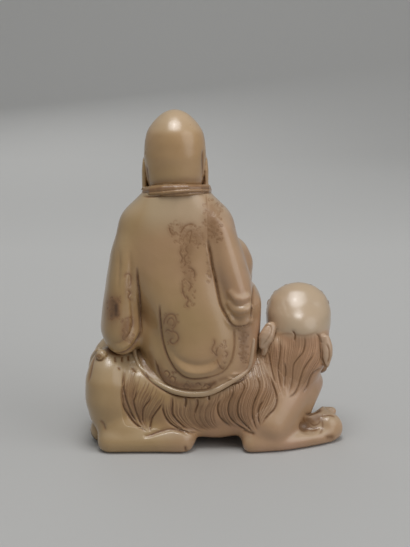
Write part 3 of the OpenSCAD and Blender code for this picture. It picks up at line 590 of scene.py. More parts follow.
# shade above the hem's lip, and the dot of the bead
BORDER_SHADE = [(141, 354), (147, 366), (155, 375)]
BEAD_DOT = [(98.4, 357), (98.8, 357.4)]
HAIRLINE = [(276, 335.5), (282, 334), (288, 333.6), (296, 334.6), (304, 335.6), (312, 334), (318, 331)]
EAR_RIM = [(262, 328), (266, 325.6), (270, 326), (271.3, 330), (269.5, 336), (265.5, 341.5), (262, 346)]
RIGHT_EAR_LINES = [
    [(321, 339), (320.6, 348), (321.8, 357), (324.5, 365), (328, 369)],
    [(326.5, 344), (329, 350), (329.4, 357), (327.5, 363)],
]
# Paw, foot and spine: points, width, depth, stain
LION_LINES = [
    ([(302.5, 420), (304, 425.5), (308, 429.5), (314, 430.6), (320, 428)], 1.1, 0.0, 0.7),
    ([(304, 416), (304, 420), (306, 423), (310, 424.5)], 1.3, 0.0, 0.7),
    ([(309, 421.5), (313, 425), (318, 424), (321, 419.5)], 0.9, 0.0, 0.9),
    ([(308, 425.8), (313, 428.4), (318.5, 426.8)], 0.8, 0.0, 0.85),
    ([(305.5, 414.5), (311, 414), (317, 411.6), (322, 409.6)], 1.8, 0.4, 1.0),
    ([(306, 420), (313, 420.5), (320, 417)], 5.0, 0.1, 0.62),
    ([(318, 417.5), (324, 415.5), (330, 415.4), (335, 417)], 0.8, 0.15, 0.75),
    ([(321.5, 418), (322.6, 424), (322, 430), (319.5, 434)], 1.0, 0.0, 0.6),
    ([(327, 437), (333, 437)], 2.6, 0.2, 0.7),
    ([(100.5, 420.5), (103.5, 424.5), (105, 430)], 1.3, 0.45, 0.5),
    ([(185.2, 447), (185.8, 450.5)], 1.2, 0.4, 0.95),
    # dark wedge under the fur: carved, and stained as painted shadow
    ([(243, 430), (249, 432.5), (254, 434)], 1.6, 0.6, 0.9),
    ([(96.5, 352), (93, 361), (91, 370), (88.5, 382)], 1.0, 0.4, 0.7),
    ([(115.1, 356), (115.3, 362)], 0.9, 0.5, 0.8),
    ([(122.2, 356), (122.2, 361.5)], 0.9, 0.5, 0.8),
    ([(128.1, 355), (128.4, 360.5)], 0.9, 0.5, 0.8),
    ([(119, 367.6), (119.8, 369.2)], 1.0, 0.3, 0.8),
    ([(132, 368), (135.3, 371.8)], 1.0, 0.4, 0.8),
]
# crease between the right hind foot and the fur
FOOT_CREASE = [(145.5, 436.3), (151, 435), (158, 432.2), (165, 430), (172, 429), (180, 430.6), (186, 433.4)]
FUR_WASH = [(132, 392), (150, 408), (190, 414), (230, 410), (258, 402)]


def draw_lion(work):
    work.stroke(FOOT_CREASE, 1.0, stain=0.95)
    work.stroke(FUR_WASH, 14, stain=0.2, sharp=2.0)
    # each lock: a deep stained line, and a wide shallow stroke beside it whose stain is painted shade
    for points in FLANK_LOCKS:
        work.stroke(points, 1.0, 0.85, 1.0)
        work.stroke(points, 2.2, 0.3, 0.3)
    # each lock of the mane: the same, with lighter painted shade beside it
    for points in MANE_LOCKS:
        work.stroke(points, 1.0, 0.65, 0.75)
        work.stroke(points, 2.2, 0.25, 0.2)
    for points in RIGHT_EAR_LINES:
        work.stroke(points, 0.9, 0.3, 0.7)
    for guides in FLANK_STRANDS:
        work.strands(guides, 1.8, 0.6, 0.5, 0.85, loose=4)
    work.strands(MANE_STRANDS, 2.0, 0.55, 0.4, 0.45, loose=4)
    work.stroke(HAIRLINE, 1.2, stain=0.3)
    # the hem's groove on the lion, stained as painted shadow under the hem
    work.stroke(HEM, 1.3, 0.5, 1.0, taper=0.05)
    work.stroke(BORDER_SHADE, 5.0, stain=0.5)
    work.curl((99.3, 357), 4.4, 0.7, 0.25, 0.7, turns=1.2)
    work.stroke(BEAD_DOT, 1.0, 0.3, 0.8, taper=0)
    work.stroke(EAR_RIM, 0.7, 0.2, 0.35)
    for points, width, depth, stain in LION_LINES:
        work.stroke(points, width, depth, stain)


# Bands of the collar and the gaps behind the ears
COLLAR_BAND = [(142, 191.5), (151, 189.8), (163, 188.2), (176, 187), (191, 186.7), (203, 187), (213, 188)]
NAPE_SHADE = [(150, 183), (163, 181.5), (176, 180.5), (191, 180), (202, 180)]
COLLAR_LIP = [(142, 194.3), (152, 193.8), (163, 193), (176, 191.6), (191, 190.6), (204, 190.4), (213, 190.6)]
# points, width, depth, stain
COLLAR_LINES = [
    ([(142, 192.8), (152, 191.9), (163, 190.9), (176, 189.6), (191, 188.8), (204, 188.7), (213, 189.2)],
     0.7, 0.25, 0.8),
    ([(143, 196.6), (153, 196.6), (165, 195.5), (176, 194.2), (190, 192.8), (204, 192.4), (212, 192.6)],
     0.8, 0.4, 0.8),
]
EAR_GAPS = [
    [(146.3, 166), (146.8, 172), (147.5, 178), (148.5, 187)],
    [(203, 150), (203, 162), (203.2, 170), (203.6, 178), (204.6, 184)],
]


def draw_collar(work):
    for points, width, depth, stain in COLLAR_LINES:
        work.stroke(points, width, depth, stain, taper=0.05)
    work.stroke(COLLAR_BAND, 2.6, stain=0.72, taper=0.05)
    work.stroke(COLLAR_LIP, 1.1, height=0.12, taper=0.05)
    work.stroke(NAPE_SHADE, 3.0, stain=0.3, taper=0.05)
    for points in EAR_GAPS:
        work.stroke(points, 1.0, 0.5, 1.0)
        work.stroke(points, 2.6, stain=0.35)


draw_robe(robe_work)
draw_collar(robe_work)
draw_lion(lion_work)


# Carved work of the front, which the photograph doesn't show, in mm

FRONT_SCALE = 6
robe_front, skin_front, lion_front = (
    Drawing(FRONT_SIZE, FRONT_SCALE, seen_from_front, FRONT) for _ in range(3))
# Folds of the robe: x and z of the points, width, depth
FRONT_FOLDS = [
    ([(-27, 84), (-24, 74), (-17, 66), (-12, 62)], 0.8, 0.5),
    ([(-30, 80), (-27, 70), (-20, 62), (-14, 59)], 0.8, 0.45),
    ([(-2, 84), (-4, 74), (-9, 66)], 0.8, 0.45),
    ([(2, 80), (0, 70), (-6, 62)], 0.8, 0.45),
    ([(-36, 66), (-33, 58), (-26, 52), (-20, 50)], 0.9, 0.5),
    ([(-33, 70), (-30, 62), (-24, 56), (-20, 54)], 0.8, 0.4),
    ([(9, 68), (6, 60), (0, 54), (-5, 52)], 0.9, 0.5),
    ([(12, 64), (9, 56), (2, 51), (-4, 50)], 0.8, 0.4),
    ([(-34, 44), (-27, 41), (-18, 41), (-10, 44)], 0.9, 0.5),
    ([(-35, 39), (-27, 36.5), (-18, 36.5), (-9, 40)], 0.9, 0.5),
    ([(-33, 34), (-25, 32), (-16, 32.5), (-8, 36)], 0.8, 0.4),
    ([(9, 43), (3, 40), (-4, 40), (-10, 43)], 0.9, 0.5),
    ([(10, 38), (3, 35.5), (-5, 36), (-10, 39)], 0.9, 0.45),
]
# Sides of the fingers: ends in x, height
FINGER_LINES = [
    ((-20, -10), 47.9), ((-20, -10), 49.1), ((-20, -10), 50.3), ((-18, -7), 51.7), ((-18, -7), 52.9), ((-18, -7), 54.1),
]
# Curls of the lion's brow and beard: middle, reach, first and last angle, count, radius
CURL_RINGS = [
    ((30.7, 45.4), (9.6, 8.1), (-8, 188), 9, 1.9),
    ((30.4, 30.0), (11.0, 10.4), (190, 350), 8, 2.3),
]
# Lines between the toes of the forepaws: x of each, then the heights of their ends
TOE_LINES = ((28.0, 30.4, 32.8, 39.8, 42.2), (1.0, 6.5))


def draw_front():
    for points, width, depth in FRONT_FOLDS:
        robe_front.stroke(on_front(points), width, depth, 0.5, taper=0.4)
    for (left, right), z in FINGER_LINES:
        skin_front.stroke(on_front([(left, z), ((left + right) / 2, z + 0.5), (right, z)]), 0.25, 0.35, 0.75)
    for middle, reach, ends, count, radius in CURL_RINGS:
        for angle in np.radians(np.linspace(*ends, count)):
            place = (middle[0] + reach[0] * math.cos(angle), middle[1] + reach[1] * math.sin(angle))
            lion_front.curl(on_front([place])[0], radius, 0.25, 0.35, 0.9, turns=1.5)
    for x in TOE_LINES[0]:
        lion_front.stroke(on_front([(x, z) for z in TOE_LINES[1]]), 0.4, 0.5, 0.6)


draw_front()


# Hollows of the whole figure, where stain gathers

class Hollows:
    """How far each place lies in a hollow, from a blurred solid of all the nodes."""

    PITCH = 0.7

    def __init__(self, sigma):
        self.grid = Grid(list(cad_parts), self.PITCH)
        solid = np.zeros(self.grid.shape, np.float32)
        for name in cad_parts:
            solid = np.maximum(solid, np.clip(0.5 - self.grid.distance(name) / self.grid.pitch, 0, 1))
        self.cells = self.grid.blur(solid, sigma)

    def at(self, points):
        place = points / self.grid.pitch - self.grid.start
        place = np.clip(place, 0, np.array(self.grid.shape) - 1.001)
        low = place.astype(int)
        t = place - low
        total = np.zeros(len(points))
        for corner in range(8):
            bits = [(corner >> k) & 1 for k in range(3)]
            weight = np.prod([t[:, k] if bits[k] else 1 - t[:, k] for k in range(3)], axis=0)
            total += weight * self.cells[tuple(low[:, k] + bits[k] for k in range(3))]
        return total


HOLLOW_BLUR = 1.5
hollows = Hollows(HOLLOW_BLUR)


# Pieces

def new_piece(name, points, quads, marks, material):
    mesh = bpy.data.meshes.new(name)
    mesh.vertices.add(len(points))
    mesh.vertices.foreach_set("co", (points * MM).ravel())
    mesh.loops.add(quads.size)
    mesh.loops.foreach_set("vertex_index", quads.ravel())
    mesh.polygons.add(len(quads))
    mesh.polygons.foreach_set("loop_start", np.arange(0, quads.size, 4))
    mesh.update(calc_edges=True)
    mesh.validate()
    mesh.shade_smooth()
    for mark, values in marks.items():
        mesh.attributes.new(mark, "FLOAT", "POINT").data.foreach_set("value", values.astype(np.float32))
    piece = bpy.data.objects.new(name, mesh)
    bpy.context.scene.collection.objects.link(piece)
    mesh.materials.append(material)
    return piece


class Mass:
    """A smooth mass made from CAD nodes, from which the pieces are cut.

    Each layer is a list of nodes and how far they are smoothed. The first layer's creases are filled to a radius,
    above a height if one is given. The mass runs out into its seats, which get no pieces."""

    FILL_PITCH = 0.7
    SINK = 0.3
    OVERLAP = 0.7
    DIVE = 0.9
    TOP_SHEEN = 0.5
    # slopes over which a top grows pale as a painted sheen, and how deep a hollow gathers how much stain
    SHEEN_SLOPES = (0.12, 0.8)
    HOLLOW_RANGE = (0.52, 0.8)
    HOLLOW_STAIN = 0.7
    EMPTY = 5.0
    RAY = (370.0, 460.0, 0.1)

    def __init__(self, layers, pitch, seats=(), fill=0.0, fill_heights=None, around=None):
        names = [name for nodes, _ in layers for name in nodes]
        self.grid = Grid(around or names, pitch)
        self.parts = {name: self.grid.distance(name) for name in [*names, *seats]}
        self.cells = np.full(self.grid.shape, self.EMPTY, np.float32)
        for i, (nodes, sigma) in enumerate(layers):
            form = self.union(nodes)
            if fill and i == 0:
                form = form - self.crease_fill(nodes, fill, fill_heights)
            if seats:
                form = np.minimum(form, self.union(seats) + self.SINK)
            form = self.grid.smooth(form, sigma)
            self.cells = np.minimum(self.cells, form)

    def crease_fill(self, nodes, radius, heights):
        """How much the filled creases add, worked out on a coarse grid."""
        coarse = Grid(nodes, self.FILL_PITCH, margin=radius + 2)
        form = np.minimum.reduce([coarse.distance(n) for n in nodes])
        added = np.clip(form - coarse.filled(form, radius), 0, radius)
        if heights:
            added *= smooth_step(*heights, coarse.lines[2])
        return self.grid.taken_from(coarse, added.astype(np.float32))

    def union(self, nodes):
        return np.minimum.reduce([self.parts[n] for n in nodes])

    def front(self, x, z):
        """How far forward the surface lies at a place."""
        i, k = (int(np.searchsorted(self.grid.lines[a], v)) for a, v in ((0, x), (2, z)))
        inside = np.nonzero(self.cells[i, :, k] < 0)[0]
        return float(self.grid.lines[1][inside[-1]])

    def seen(self, pixels):
        """Where the camera's rays through pixels of the photograph meet the surface."""
        places = []
        for pixel in pixels:
            start, step = camera_ray(pixel)
            points = start + np.arange(*self.RAY)[:, None] * step
            cells = np.round(points / self.grid.pitch - self.grid.start).astype(int)
            inside = ((cells >= 0) & (cells < self.grid.shape)).all(axis=1)
            solid = self.cells[tuple(cells[inside].T)] < 0
            places.append(points[inside][np.argmax(solid)])
        return places

    def ellipsoid(self, middle, radii, blend, cut=False):
        """Adds a rounded lump, or cuts a hollow."""
        middle, radii = np.array(middle, float), np.array(radii, float)
        window, axes = self.grid.window(middle - radii - 3 * blend, middle + radii + 3 * blend)
        shares = [(a - m) / r for a, m, r in zip(axes, middle, radii)]
        size = np.sqrt(sum(s * s for s in shares))
        slope = np.sqrt(sum((s / r) ** 2 for s, r in zip(shares, radii)))
        self.add(window, size * (size - 1) / np.maximum(slope, 1e-6), blend, cut)

    def cord(self, points, radii, blend, cut=False, flat=1.0):
        """Adds a round cord along a curve, or cuts a channel; flat squeezes it from front to back."""
        curve = spline(points, 0.8)
        sizes = np.interp(np.linspace(0, 1, len(curve)), np.linspace(0, 1, len(radii)), radii)
        reach = max(radii) + 3 * blend
        window, axes = self.grid.window(curve.min(axis=0) - reach, curve.max(axis=0) + reach)
        stretch = (1.0, flat, 1.0)
        shape = None
        for start, end, first, last in zip(curve, curve[1:], sizes, sizes[1:]):
            way = (end - start) * stretch
            offsets = [(a - s) * f for a, s, f in zip(axes, start, stretch)]
            t = np.clip(sum(o * w for o, w in zip(offsets, way)) / max(way @ way, 1e-9), 0, 1)
            away = np.sqrt(sum((o - w * t) ** 2 for o, w in zip(offsets, way))) - (first + (last - first) * t)
            shape = away if shape is None else np.minimum(shape, away)
        self.add(window, shape / flat ** 0.5, blend, cut)

    def add(self, window, shape, blend, cut):
        cells = self.cells[window]
        self.cells[window] = -joined(-cells, shape, blend) if cut else joined(cells, shape, blend)

    def piece(self, name, nodes, slot, drawings=(), moved=None, least_stain=0.0, least_pale=None,
              top_sheen=TOP_SHEEN):
        """Cuts out the piece that stands for some of the nodes, and carves the drawings into it."""
        cells = self.cells
        others = [n for n in self.parts if n not in nodes]
        if others:
            beyond = (self.union(nodes) - self.union(others)) / 2
            cells = np.maximum(cells + self.DIVE * np.clip(beyond, 0, None) ** 2, beyond - self.OVERLAP)
        points, quads = main_shells(*self.grid.mesh(cells))
        normals = point_normals(points, quads)
        if (normals * (points - points.mean(axis=0))).sum() < 0:
            quads = quads[:, ::-1].copy()
            normals = -normals
        if moved:
            points = moved(points)
        stain = np.maximum(smooth_step(*self.HOLLOW_RANGE, hollows.at(points)) * self.HOLLOW_STAIN, least_stain)
        rise = np.zeros(len(points))
        for drawing in drawings:
            lift, mark = drawing.relief(points, normals)
            rise += lift
            stain = np.maximum(stain, mark)
        # painted sheen: slopes that face up are painted paler
        pale = top_sheen * smooth_step(*self.SHEEN_SLOPES, normals[:, 2])
        if least_pale:
            pale = np.maximum(pale, least_pale(points))
        points = points + normals * rise[:, None]
        points[:, 2] = np.maximum(points[:, 2], 0)
        piece = new_piece(name, points, quads, {"stain": stain, "pale": pale}, MATERIALS[slot])
        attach(piece, "root")
        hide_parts(*nodes)


# Soapstone: mottled, waxed to a soft gloss, and brown where the carving holds stain

def stone(name, pale, deep, roughness):
    material = bpy.data.materials.new(name)
    material.use_nodes = True
    nodes, links = material.node_tree.nodes, material.node_tree.links
    shader = nodes["Principled BSDF"]
    place = nodes.new("ShaderNodeTexCoord").outputs["Object"]

    def noise(scale, detail, distortion=0.0):
        node = nodes.new("ShaderNodeTexNoise")
        node.inputs["Scale"].default_value = scale
        node.inputs["Detail"].default_value = detail
        node.inputs["Distortion"].default_value = distortion
        links.new(place, node.inputs["Vector"])
        return node.outputs["Fac"]

    def ramp(value, low, high, start=0.0, end=1.0):
        node = nodes.new("ShaderNodeMapRange")
        for socket, number in zip(("From Min", "From Max", "To Min", "To Max"), (low, high, start, end)):
            node.inputs[socket].default_value = number
        links.new(value, node.inputs["Value"])
        return node.outputs["Result"]

    def mix(factor, a, b):
        node = nodes.new("ShaderNodeMix")
        node.data_type = "RGBA"
        for socket, value in (("Factor", factor), ("A", a), ("B", b)):
            if isinstance(value, tuple):
                node.inputs[socket].default_value = (*value, 1)
            else:
                links.new(value, node.inputs[socket])
        return node.outputs["Result"]

    def combine(operation, a, b):
        node = nodes.new("ShaderNodeMath")
        node.operation = operation
        for i, value in enumerate((a, b)):
            if isinstance(value, float):
                node.inputs[i].default_value = value
            else:
                links.new(value, node.inputs[i])
        return node.outputs["Value"]

    split = nodes.new("ShaderNodeSeparateXYZ")
    links.new(place, split.inputs["Vector"])
    stain, sheen_and_pale = (nodes.new("ShaderNodeAttribute") for _ in range(2))
    stain.attribute_name = "stain"
    sheen_and_pale.attribute_name = "pale"

    # yellower towards -X, pinker and brighter towards +X: partly the stone's own tone, partly painted light from the
    # right
    side = combine("ADD", ramp(split.outputs["X"], -0.035, 0.02), ramp(noise(28, 2), 0.3, 0.7, -0.35, 0.35))
    colour = mix(ramp(side, 0.1, 0.9), pale, tuple(c * t for c, t in zip(pale, PINK_AND_LIT)))
    colour = mix(ramp(noise(45, 4, 0.5), 0.45, 0.75, 0.0, 0.5), colour, deep)
    colour = mix(ramp(noise(120, 5, 0.8), 0.5, 0.8, 0.0, 0.35), colour, deep)
    colour = mix(ramp(noise(33, 3, 0.3), 0.5, 0.8, 0.0, 0.4), colour, tuple(min(1.0, c * 1.25) for c in pale))
    # paler where the pale mark says: painted sheen on upward slopes and the upper back, painted highlight on the hem's
    # lip, paler stone with painted sheen on the skull, and paler ears
    colour = mix(sheen_and_pale.outputs["Fac"], colour, SHEEN_AND_PALE_STONE)
    # brown from the stain mark: mostly stain in carved lines and hollows, partly painted shadow and shade under the
    # hem, under the fur, in folds and beside the locks
    stain_and_shade_amount = combine("MULTIPLY", stain.outputs["Fac"], ramp(noise(420, 3), 0.25, 0.6, 0.75, 1.0))
    colour = mix(ramp(stain_and_shade_amount, 0.0, 0.55), colour, RUST_AND_SHADE)
    colour = mix(ramp(stain_and_shade_amount, 0.55, 1.0), colour, STAIN_AND_SHADE)
    links.new(colour, shader.inputs["Base Color"])
    gloss = ramp(noise(160, 3), 0.3, 0.7, roughness - 0.05, roughness + 0.06)
    links.new(combine("ADD", gloss, combine("MULTIPLY", stain_and_shade_amount, 0.25)), shader.inputs["Roughness"])
    shader.inputs["Coat Weight"].default_value = 0.6
    shader.inputs["Coat Roughness"].default_value = 0.2
    bump = nodes.new("ShaderNodeBump")
    bump.inputs["Strength"].default_value = 0.12
    bump.inputs["Distance"].default_value = 0.00025
    links.new(noise(900, 4), bump.inputs["Height"])
    links.new(bump.outputs["Normal"], shader.inputs["Normal"])
    return material


PINK_AND_LIT = (1.15, 1.03, 1.37)
SHEEN_AND_PALE_STONE = (0.52, 0.42, 0.29)
RUST_AND_SHADE = (0.26, 0.135, 0.056)
STAIN_AND_SHADE = (0.085, 0.038, 0.013)
MATERIALS = {
    "skin_stone": stone("skin_stone", (0.45, 0.295, 0.13), (0.365, 0.216, 0.082), 0.32),
    "robe_stone": stone("robe_stone", (0.41, 0.268, 0.12), (0.33, 0.197, 0.079), 0.34),
    "lion_stone": stone("lion_stone", (0.42, 0.278, 0.13), (0.33, 0.202, 0.085), 0.34),
    "fur_stone": stone("fur_stone", (0.41, 0.256, 0.107), (0.32, 0.188, 0.07), 0.40),
}


# Grid pitches, in mm: large forms, small forms, thin lines
BODY_PITCH, SMALL_PITCH, LINE_PITCH = 0.3, 0.25, 0.22
# the monk's middle
MONK_X = -14.4


def evenly(pale):
    """A piece's least pallor, the same all over."""
    return lambda points: np.full(len(points), pale)


# Monk's robe
robe = Mass([(["robe_mantle", "left_sleeve", "right_sleeve", "robe_skirt", "left_forearm", "right_forearm",
               "left_knee", "right_knee"], 1.7)],
            BODY_PITCH, seats=["lion_trunk", "right_flank_fur", "left_flank_fur"],
            fill=5.0, fill_heights=(60, 70))
# painted highlight: the hem's lip is painted paler all over
HEM_HIGHLIGHT = 0.35
# lapels, crossed on the breast: x and z of the under one, and of the robe's edge below the upper one
UNDER_LAPEL = [(-4.6, 87.5), (-7.0, 84.5), (-9.5, 81), (-12.5, 77)]
ROBE_EDGE = [(-21.5, 90), (-19, 82), (-14, 72), (-8, 64)]
under_lapel = [(x, robe.front(x, z) + 0.2, z) for x, z in UNDER_LAPEL]
robe.cord([(x, robe.front(x, z), z) for x, z in ROBE_EDGE], [1.0] * len(ROBE_EDGE), 0.7)
ROLL_RADII = (1.3, 0.85, 0.65)
for pixels, radius in zip(SLEEVE_ROLLS, ROLL_RADII):
    robe.cord(robe.seen(pixels), (radius * 0.6, radius, radius, radius * 0.8), 1.8)
hem_path = robe.seen(HEM_LIP)
ROBE_SIDES = [robe_work, robe_front]
# painted sheen on the upper back: how pale, heights over which it begins, distances from the middle over which it ends
BACK_SHEEN = 0.5
BACK_HEIGHTS = (75, 86)
BACK_SIDES = (7, 15)


def painted_back_sheen(points):
    ends = smooth_step(*BACK_SIDES, np.abs(points[:, 0] - MONK_X))
    return BACK_SHEEN * smooth_step(*BACK_HEIGHTS, points[:, 2]) * (1 - ends)


for name, node in (("robe_back", "robe_mantle"), ("sleeve_left", "left_sleeve"), ("sleeve_right", "right_sleeve"),
                   ("skirt", "robe_skirt"), ("forearm_left", "left_forearm"), ("forearm_right", "right_forearm"),
                   ("knee_left", "left_knee"), ("knee_right", "right_knee")):
    robe.piece(name, [node], "robe_stone", ROBE_SIDES, least_pale=painted_back_sheen)
del robe

lapel = Mass([], SMALL_PITCH, around=["robe_collar"])
lapel.cord(under_lapel, (1.1, 1.2, 1.2, 1.1), 0.1)
lapel.piece("lapel_under", ["robe_collar"], "robe_stone", least_stain=0.3, top_sheen=0.0)
del lapel

hem = Mass([], LINE_PITCH, around=["robe_skirt"])
hem.cord(hem_path, (0.8, 1.0, 1.05, 1.05, 1.0, 0.7), 0.1)
hem.piece("hem", ["robe_skirt"], "robe_stone", least_pale=evenly(HEM_HIGHLIGHT))
del hem

# Monk's head and collar: a calm, plain face with lowered eyelids
COLLAR_SHARE = 0.935


def carve_face(mass):
    """Eyes, brows, cheeks, nose, chin and lips."""
    def place(x, z, out):
        return MONK_X + x, mass.front(MONK_X + x, z) + out, z

    for side in (-1, 1):
        mass.ellipsoid(place(4.4 * side, 106.3, 1.5), (3.4, 2.3, 2.0), 1.5, cut=True)
        mass.ellipsoid(place(4.4 * side, 105.9, -1.0), (2.6, 1.8, 1.5), 0.5)
        mass.cord([place(2.1 * side, 105.8, 0.0), place(4.4 * side, 105.2, 0.1), place(6.6 * side, 105.7, 0.0)],
                  (0.2, 0.3, 0.2), 0.2, cut=True)
        mass.cord([place(1.9 * side, 108.3, -0.2), place(4.6 * side, 109.1, 0.0), place(7.4 * side, 108.2, -0.2)],
                  (0.5, 0.6, 0.35), 0.7)
        mass.ellipsoid(place(5.6 * side, 101.0, -1.2), (2.9, 2.0, 3.4), 2.5)
    mass.cord([place(0, 108.0, -0.5), place(0, 104.6, 0.3), place(0, 101.8, 1.0)], (0.9, 1.1, 1.5), 1.0)
    for side in (-1, 1):
        mass.ellipsoid(place(1.7 * side, 101.2, -0.6), (0.9, 1.2, 0.9), 0.5)
    mass.ellipsoid(place(0, 94.3, -1.3), (3.6, 2.4, 2.0), 1.8)
    mass.cord([place(-2.8, 98.3, -0.3), place(0, 98.7, 0.1), place(2.8, 98.3, -0.3)], (0.4, 0.8, 0.4), 0.5)
    mass.cord([place(-2.3, 97.5, -0.3), place(0, 97.2, 0.1), place(2.3, 97.5, -0.3)], (0.4, 0.95, 0.4), 0.5)
    mass.cord([place(-3.1, 98.1, 0.1), place(0, 97.9, 0.1), place(3.1, 98.1, 0.1)], (0.22, 0.22, 0.22), 0.2, cut=True)


def narrowed_collar(points):
    """The collar drawn in to the neck."""
    low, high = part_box("monk_head")
    middle = (low[0] + high[0]) / 2 / MM
    return np.stack([middle + (points[:, 0] - middle) * COLLAR_SHARE, points[:, 1], points[:, 2]], 1)


head = Mass([(["monk_head"], 1.2), (["monk_left_ear", "monk_right_ear", "robe_collar"], 0.45)],
            SMALL_PITCH, seats=["robe_mantle"])
carve_face(head)
head.piece("head", ["monk_head"], "skin_stone", [robe_work])
head.piece("ear_left", ["monk_left_ear"], "skin_stone", [robe_work])
head.piece("ear_right", ["monk_right_ear"], "skin_stone", [robe_work])
head.piece("collar", ["robe_collar"], "robe_stone", [robe_work], moved=narrowed_collar, least_stain=0.3,
           top_sheen=0.0)
del head

hands = Mass([(["left_hand", "right_hand"], 0.6)], SMALL_PITCH, seats=["left_forearm", "right_forearm"])
hands.piece("hands", ["left_hand", "right_hand"], "skin_stone", [skin_front])
del hands


# Lion's body, legs and fur

def add_nape(mass):
    """The back of the skull, down to the mane."""
    mass.ellipsoid((30.2, -4.5, 42.5), (7.8, 7.8, 7.4), 3.0)


# how pale the skull is, partly paler stone and partly painted sheen, and the heights over which that begins
SKULL_PALE = 0.7
SKULL_HEIGHTS = (39.5, 43)


def pale_skull(points):
    return SKULL_PALE * smooth_step(*SKULL_HEIGHTS, points[:, 2])


LION_NODES = ["lion_trunk", "right_haunch", "left_haunch", "right_hind_foot", "left_hind_foot", "right_foreleg",
              "left_foreleg", "right_forepaw", "left_forepaw", "right_flank_fur", "left_flank_fur", "lion_mane"]
LION_SMOOTH = 1.8
LION_FILL = 3.5
# how much farther the fur reaches over the filled creases than the body does, and where that fades out
FUR_REACH = 2.0
FUR_FADE = (1.5, 3.0)


def lion_mass(pitch, around=None):
    mass = Mass([(LION_NODES, LION_SMOOTH)], pitch, seats=["lion_head"], fill=LION_FILL, around=around)
    for name in ("right_flank_fur", "left_flank_fur"):
        away = mass.parts[name]
        mass.parts[name] = away - FUR_REACH * (1 - smooth_step(*FUR_FADE, away))
    # belly between the hind foot and the elbow
    mass.ellipsoid((0, -8, 7), (11, 7.5, 4.3), 2.5)
    mass.ellipsoid((0, 5.5, 5.2), (14, 8, 4.9), 2.0)
    # the right thigh runs down into the foot
    mass.cord([(-37, -13.5, 8.5), (-32, -15, 8.5), (-27, -15, 7.5)], (3.6, 3.8, 3.0), 2.5)
    # its toes, and the heel of the left foot behind it
    mass.ellipsoid((-13, -15.3, 4.9), (6.0, 4.8, 4.6), 0.7)
    mass.ellipsoid((-42.2, -5.5, 4.4), (3.5, 5.0, 4.4), 0.6)
    # right forepaw: a curled upper toe, a round lower one and the hollow behind them
    mass.cord([(33, -1.5, 8.2), (38, -0.8, 9.4), (43, -0.6, 9.4)], (1.4, 1.7, 1.6), 0.8)
    mass.ellipsoid((40.8, -4.6, 5.4), (4.7, 4.8, 4.8), 0.8)
    # lower edge of the right forearm
    mass.cord([(12.5, -17.6, 2.7), (24, -15.6, 2.7), (36, -10.5, 2.7), (41, -7.5, 2.7)], (2.7, 2.8, 2.8, 2.6), 2.0)
    mass.ellipsoid((33.6, -11.6, 7.4), (3.6, 3.2, 2.6), 1.4, cut=True)
    add_nape(mass)
    return mass


def carve_foot(mass):
    """The crease above the right hind foot."""
    mass.cord(foot_crease, (0.3, 0.5, 0.6, 0.6, 0.5, 0.3), 1.0, cut=True)


lion = lion_mass(BODY_PITCH)
foot_crease = lion.seen(FOOT_CREASE)
carve_foot(lion)
BOTH_SIDES = [lion_work, Mirrored(lion_work)]
lion.piece("foreleg_right", ["right_foreleg", "right_forepaw"], "lion_stone", [lion_work, lion_front])
lion.piece("foreleg_left", ["left_foreleg", "left_forepaw"], "lion_stone", [lion_front])
# the breast slopes back under the head
lion.ellipsoid((58, 0, 6), (24, 25, 20), 3.0, cut=True)
lion.piece("lion_body", ["lion_trunk", "right_haunch", "left_haunch", "right_hind_foot", "left_hind_foot"],
           "lion_stone", BOTH_SIDES)
del lion

# Lion's fur, on finer grids
for name, node, drawings in (("flank_fur_right", "right_flank_fur", [lion_work]),
                             ("flank_fur_left", "left_flank_fur", [Mirrored(lion_work)]),
                             ("mane", "lion_mane", BOTH_SIDES)):
    fur = lion_mass(LINE_PITCH, around=[node])
    carve_foot(fur)
    fur.piece(name, [node], "fur_stone", drawings, least_pale=pale_skull)
    del fur

tail = Mass([(["lion_tail", "tail_bead"], 0.5)], SMALL_PITCH, seats=["right_haunch", "lion_trunk"])
tail.piece("tail", ["lion_tail", "tail_bead"], "lion_stone", [lion_work])
del tail

# Lion's head
EAR_PALE = 0.4
CURLS_SHIFT = (0.3, 0.2, 0)
BEARD_SHARE = 0.88
LION_X = 30.4


def narrowed_beard(points):
    """The beard drawn in to the face."""
    return np.stack([LION_X + (points[:, 0] - LION_X) * BEARD_SHARE, points[:, 1], points[:, 2]], 1)


def carve_lion_face(mass):
    """Eyes, brows, cheeks, nose, nostrils and mouth."""
    def place(x, z, out):
        return LION_X + x, mass.front(LION_X + x, z) + out, z

    for side in (-1, 1):
        mass.ellipsoid(place(4.6 * side, 44.6, 0.6), (2.8, 1.9, 2.2), 1.0, cut=True)
        mass.ellipsoid(place(4.6 * side, 44.5, -0.7), (1.9, 1.8, 1.7), 0.3)
        mass.cord([place(1.8 * side, 45.8, 0), place(4.6 * side, 47.8, 0.2), place(7.8 * side, 46.0, 0)],
                  (0.7, 1.1, 0.6), 0.8)
        mass.ellipsoid(place(7.0 * side, 38.5, -1.0), (2.6, 2.0, 2.8), 1.8)
        mass.ellipsoid(place(1.9 * side, 40.6, -0.7), (1.5, 1.2, 1.2), 0.6)
    mass.ellipsoid(place(0, 41.2, -0.5), (2.0, 1.6, 1.5), 0.8)
    for side in (-1, 1):
        mass.ellipsoid(place(1.6 * side, 40.0, 0.2), (0.6, 0.8, 0.45), 0.3, cut=True)
    mass.cord([place(0, 39.0, 0.1), place(0, 35.4, 0.1)], (0.3, 0.3), 0.3, cut=True)
    mass.cord([place(-6.6, 36.6, 0.1), place(-3.4, 34.6, 0.1), place(0, 35.3, 0.1), place(3.4, 34.6, 0.1),
               place(6.6, 36.6, 0.1)], (0.35, 0.5, 0.5, 0.5, 0.35), 0.3, cut=True)


